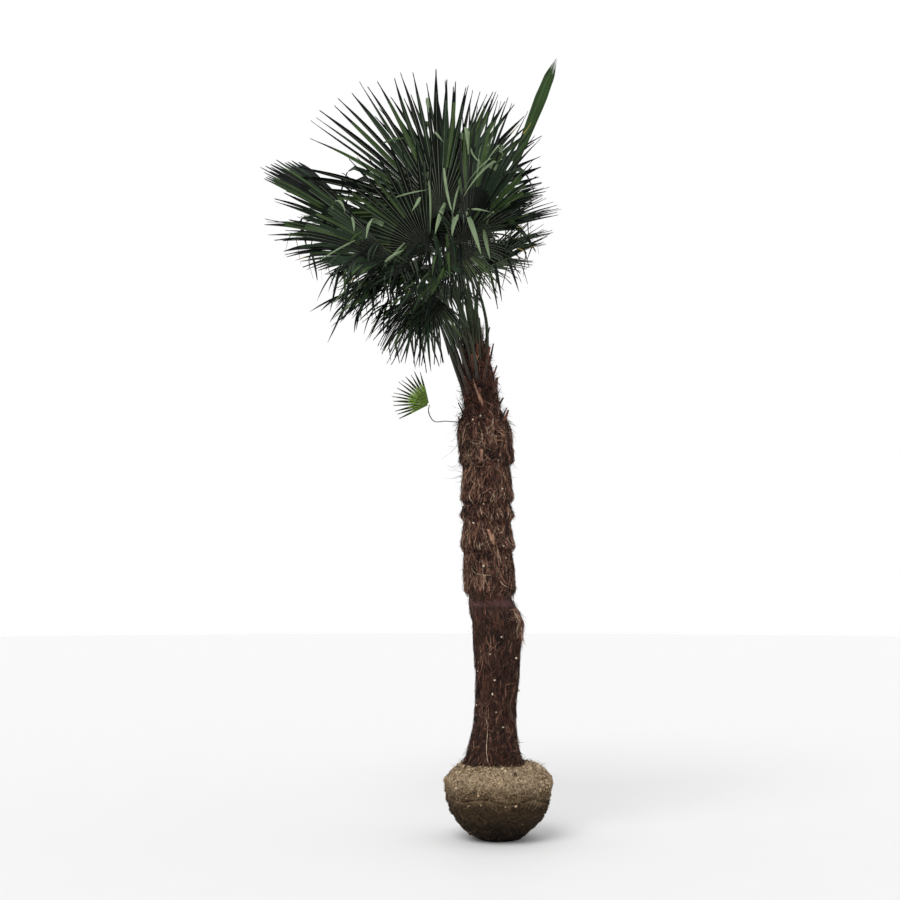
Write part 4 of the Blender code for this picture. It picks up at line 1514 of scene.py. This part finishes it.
class PALM_OT_low_frond(bpy.types.Operator):
    """Make the small bright frond below the crown, with its thin stalk"""

    bl_idname = "palm.low_frond"
    bl_label = "Low frond"

    def execute(self, context):
        look = context.scene.palm_fronds
        rng = np.random.default_rng(52)
        heap = Heap()
        add_fan(heap, LOW_FROND, look, YOUNG, rng)
        finishes = (
            leaf_finish("young_deep", shaded(look.young, 0.20), 0.4),
            leaf_finish("young_green", shaded(look.young, 0.55), 0.4),
            leaf_finish("young_bright", look.young, 0.4),
            leaf_finish("young_underside", look.under, 0.55),
            # Lighter young green on the rib: the midrib, with painted highlight of the fold
            leaf_finish("young_rib_highlight", shaded(look.young, 1.7), 0.5),
            leaf_finish("young_dry", look.dry, 0.7),
        )
        piece = heap.piece("low_leaf", finishes)
        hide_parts("blade_low")
        heap = Heap()
        points = centre_line("stalk_low", LOW_FROND.hub)
        add_stalk(heap, points, UP, (LOW_STALK_RADIUS, LOW_STALK_RADIUS), 0, rng, teeth=False)
        skin = stalk_finish("low_stalk_skin", (0.02, 0.02, 0.016), (0.02, 0.014, 0.01))
        stalk = heap.piece("low_stalk", (skin,), smooth=True)
        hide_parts("stalk_low")
        return {"FINISHED"}


class PALM_OT_trunk(bpy.types.Operator):
    """Make the trunk with the relief of its matted fibre"""

    bl_idname = "palm.trunk"
    bl_label = "Trunk"

    def execute(self, context):
        heights = np.linspace(TRUNK_FOOT, TRUNK_TOP, TRUNK_RINGS)
        profile = list(zip(trunk_radius(heights).tolist(), heights.tolist()))
        shape = turned_shape(profile, TRUNK_SIDES)
        move_points(shape, trunk_relief)
        piece = finish_shape("trunk_skin", shape, (trunk_finish(context.scene.palm_trunk),))
        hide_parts("trunk")
        return {"FINISHED"}


class PALM_OT_fibre(bpy.types.Operator):
    """Hang the loose fibre on the trunk"""

    bl_idname = "palm.fibre"
    bl_label = "Fibre"

    def execute(self, context):
        look = context.scene.palm_trunk
        finishes = fibre_finishes(look)
        zones = {
            "fibre_lower": LOWER_FIBRE,
            "fibre_skirts": UPPER_FIBRE,
            "fibre_neck": NECK_FIBRE,
            "fibre_wisps": WISPS,
        }
        for index, (name, group) in enumerate(zones.items()):
            rng = np.random.default_rng(60 + index)
            heap = Heap()
            for zone in group:
                add_strands(heap, zone, rng)
            heap.piece(name, finishes)
        return {"FINISHED"}


class PALM_OT_neck(bpy.types.Operator):
    """Make the old leaf bases round the neck and the pale specks on the trunk"""

    bl_idname = "palm.neck"
    bl_label = "Leaf bases"

    def execute(self, context):
        look = context.scene.palm_trunk
        finishes = fibre_finishes(look)
        rng = np.random.default_rng(71)
        heap = Heap()
        for index in range(BOOTS):
            height = BOOT_LOW + (BOOT_HIGH - BOOT_LOW) * index / BOOTS
            length = rng.uniform(*BOOT_LENGTHS) * min(1.0, 0.45 + 1.8 * (height - BOOT_LOW))
            add_boot(heap, height, index * GOLDEN_TURN, length, rng)
        for sliver in SLIVERS:
            add_sliver(heap, *sliver)
        heap.piece("leaf_bases", finishes, smooth=True)
        heap = Heap()
        seen = np.array([seen_on_trunk(*speck) for speck in SPECKS])
        turns = np.concatenate((seen[:, 0], rng.uniform(0.0, math.pi, look.specks)))
        heights = np.concatenate((seen[:, 1], rng.uniform(*SPECK_HEIGHTS, look.specks)))
        places = trunk_places(trunk_radius(heights) + SPECK_STAND, turns, heights)
        add_grains(heap, places, rng.uniform(*SPECK_SIZES, len(places)), 0.5, 0, rng)
        heap.piece("pale_specks", (crumb_finish("speck", SPECK_COLOUR),))
        return {"FINISHED"}


# Crumbs on the ball's side: lowest and highest place, share, and shares of the four finishes
CRUMB_BANDS = (
    (0.30, 0.43, 0.5, (0.5, 0.4, 0.1, 0.0)),
    (0.22, 0.30, 0.25, (0.1, 0.4, 0.4, 0.1)),
    (0.02, 0.22, 0.25, (0.0, 0.04, 0.40, 0.56)),
)


class PALM_OT_root_ball(bpy.types.Operator):
    """Make the ball of earth with its crumbs, fine roots and litter"""

    bl_idname = "palm.root_ball"
    bl_label = "Root ball"

    def execute(self, context):
        look = context.scene.palm_earth
        marks = np.linspace(0.0, 1.0, BALL_RINGS)
        profile = along_curve([(radius, 0.0, height) for radius, height in BALL_PROFILE], marks)
        shape = turned_shape([(point[0], point[2]) for point in profile.tolist()], BALL_SIDES)
        move_points(shape, ball_relief)
        tree = BVHTree.FromBMesh(shape)
        ball = finish_shape("ball", shape, (earth_finish(look),))
        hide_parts("root_ball")
        rng = np.random.default_rng(83)
        finishes = (
            crumb_finish("crumb_pale", look.pale_earth),
            crumb_finish("crumb_brown", look.earth),
            crumb_finish("crumb_dark", look.low_earth),
            crumb_finish("crumb_black", look.underside),
        )
        heap = Heap()
        for low, high, share, shades in CRUMB_BANDS:
            count = round(look.crumbs * share)
            places = ball_places(tree, rng, low, high, count)
            sizes = rng.gamma(2.0, 0.0018, count).clip(0.002, 0.010)
            add_grains(heap, places, sizes, 0.8, rng.choice(4, count, p=shades), rng)
        places = top_places(tree, rng, 0.17, 0.30, look.crumbs // 3)
        sizes = rng.gamma(2.0, 0.0026, len(places)).clip(0.002, 0.016)
        add_grains(heap, places, sizes, 0.7, rng.choice(3, len(places), p=(0.5, 0.35, 0.15)), rng)
        heap.piece("ball_crumbs", finishes)
        heap = Heap()
        upper, lower = (0.35, 0.35, 0.25, 0.05), (0.0, 0.12, 0.50, 0.38)
        add_rootlets(heap, tree, rng, look.rootlets, (0.03, 0.10), 0.0011, 0.27, 0.42, upper)
        add_rootlets(heap, tree, rng, look.rootlets, (0.03, 0.10), 0.0012, 0.03, 0.27, lower)
        add_litter(heap, top_places(tree, rng, 0.16, 0.29, look.litter), rng)
        heap.piece("ball_rootlets", finishes)
        return {"FINISHED"}


KEY_SIZE = math.radians(35)
KEY_TURNS = (math.radians(38), 0.0, math.radians(-28))


class PALM_OT_stage(bpy.types.Operator):
    """Set up the floor, the light and the camera"""

    bl_idname = "palm.stage"
    bl_label = "Stage"

    def execute(self, context):
        look = context.scene.palm_stage
        shape = bmesh.new()
        bmesh.ops.create_circle(shape, cap_ends=True, segments=64, radius=FLOOR_RADIUS)
        data = bpy.data.meshes.new("floor")
        shape.to_mesh(data)
        shape.free()
        finish = Finish("floor_paint", gloss=0.3)
        pale = finish.speckle(3.0, 4.0)
        finish.paint(finish.blend(pale, shaded(look.floor, 0.97), look.floor), 0.6 + 0.2 * pale)
        data.materials.append(finish.material)
        floor = bpy.data.objects.new("floor", data)
        context.scene.collection.objects.link(floor)
        floor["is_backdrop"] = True
        world = bpy.data.worlds.new("studio")
        world.use_nodes = True
        glow = world.node_tree.nodes["Background"]
        glow.inputs["Color"].default_value = (1.0, 1.0, 1.0, 1.0)
        glow.inputs["Strength"].default_value = look.sky
        context.scene.world = world
        context.scene.view_settings.view_transform = "Standard"
        sun = bpy.data.lights.new("key", "SUN")
        sun.energy = look.key
        sun.angle = KEY_SIZE
        lamp = bpy.data.objects.new("key", sun)
        lamp.rotation_euler = KEY_TURNS
        context.scene.collection.objects.link(lamp)
        lens = bpy.data.cameras.new("camera")
        lens.sensor_width = SENSOR
        lens.lens = FOCAL_PIXELS / PICTURE * SENSOR
        lens.clip_end = 200.0
        camera = bpy.data.objects.new("camera", lens)
        camera.location = CAMERA_PLACE
        camera.rotation_euler = (math.pi / 2 + CAMERA_RISE, 0.0, 0.0)
        context.scene.collection.objects.link(camera)
        context.scene.camera = camera
        return {"FINISHED"}


class PALM_PT_sidebar(bpy.types.Panel):
    """The palm's pieces, with their sizes and colours"""

    bl_label = "Windmill Palm"
    bl_idname = "PALM_PT_sidebar"
    bl_space_type = "VIEW_3D"
    bl_region_type = "UI"
    bl_category = "Palm"

    def draw(self, context):
        for operator in OPERATORS:
            self.layout.operator(operator.bl_idname)
        for name, group in LOOKS.items():
            box = self.layout.box()
            for prop in group.__annotations__:
                box.prop(getattr(context.scene, name), prop)


LOOKS = {
    "palm_fronds": FrondLook,
    "palm_trunk": TrunkLook,
    "palm_earth": EarthLook,
    "palm_stage": StageLook,
}
OPERATORS = (
    PALM_OT_stage,
    PALM_OT_fronds,
    PALM_OT_stalks,
    PALM_OT_spear,
    PALM_OT_low_frond,
    PALM_OT_trunk,
    PALM_OT_fibre,
    PALM_OT_neck,
    PALM_OT_root_ball,
)
CLASSES = (*LOOKS.values(), *OPERATORS, PALM_PT_sidebar)


def register():
    """Add the classes and their settings."""
    for entry in CLASSES:
        bpy.utils.register_class(entry)
    for name, group in LOOKS.items():
        setattr(bpy.types.Scene, name, PointerProperty(type=group))


def unregister():
    """Take the classes and their settings away."""
    for name in LOOKS:
        delattr(bpy.types.Scene, name)
    for entry in reversed(CLASSES):
        bpy.utils.unregister_class(entry)


def main():
    """Make every piece and work out the sizes of the frame and of the looks."""
    register()
    for operator in OPERATORS:
        group, name = operator.bl_idname.split(".")
        getattr(getattr(bpy.ops, group), name)()
    sizes = {"cad": CAD_BOX, "visual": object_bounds()}
    {name: [list(corner) for corner in box] for name, box in sizes.items()}


if __name__ == "__main__":
    main()
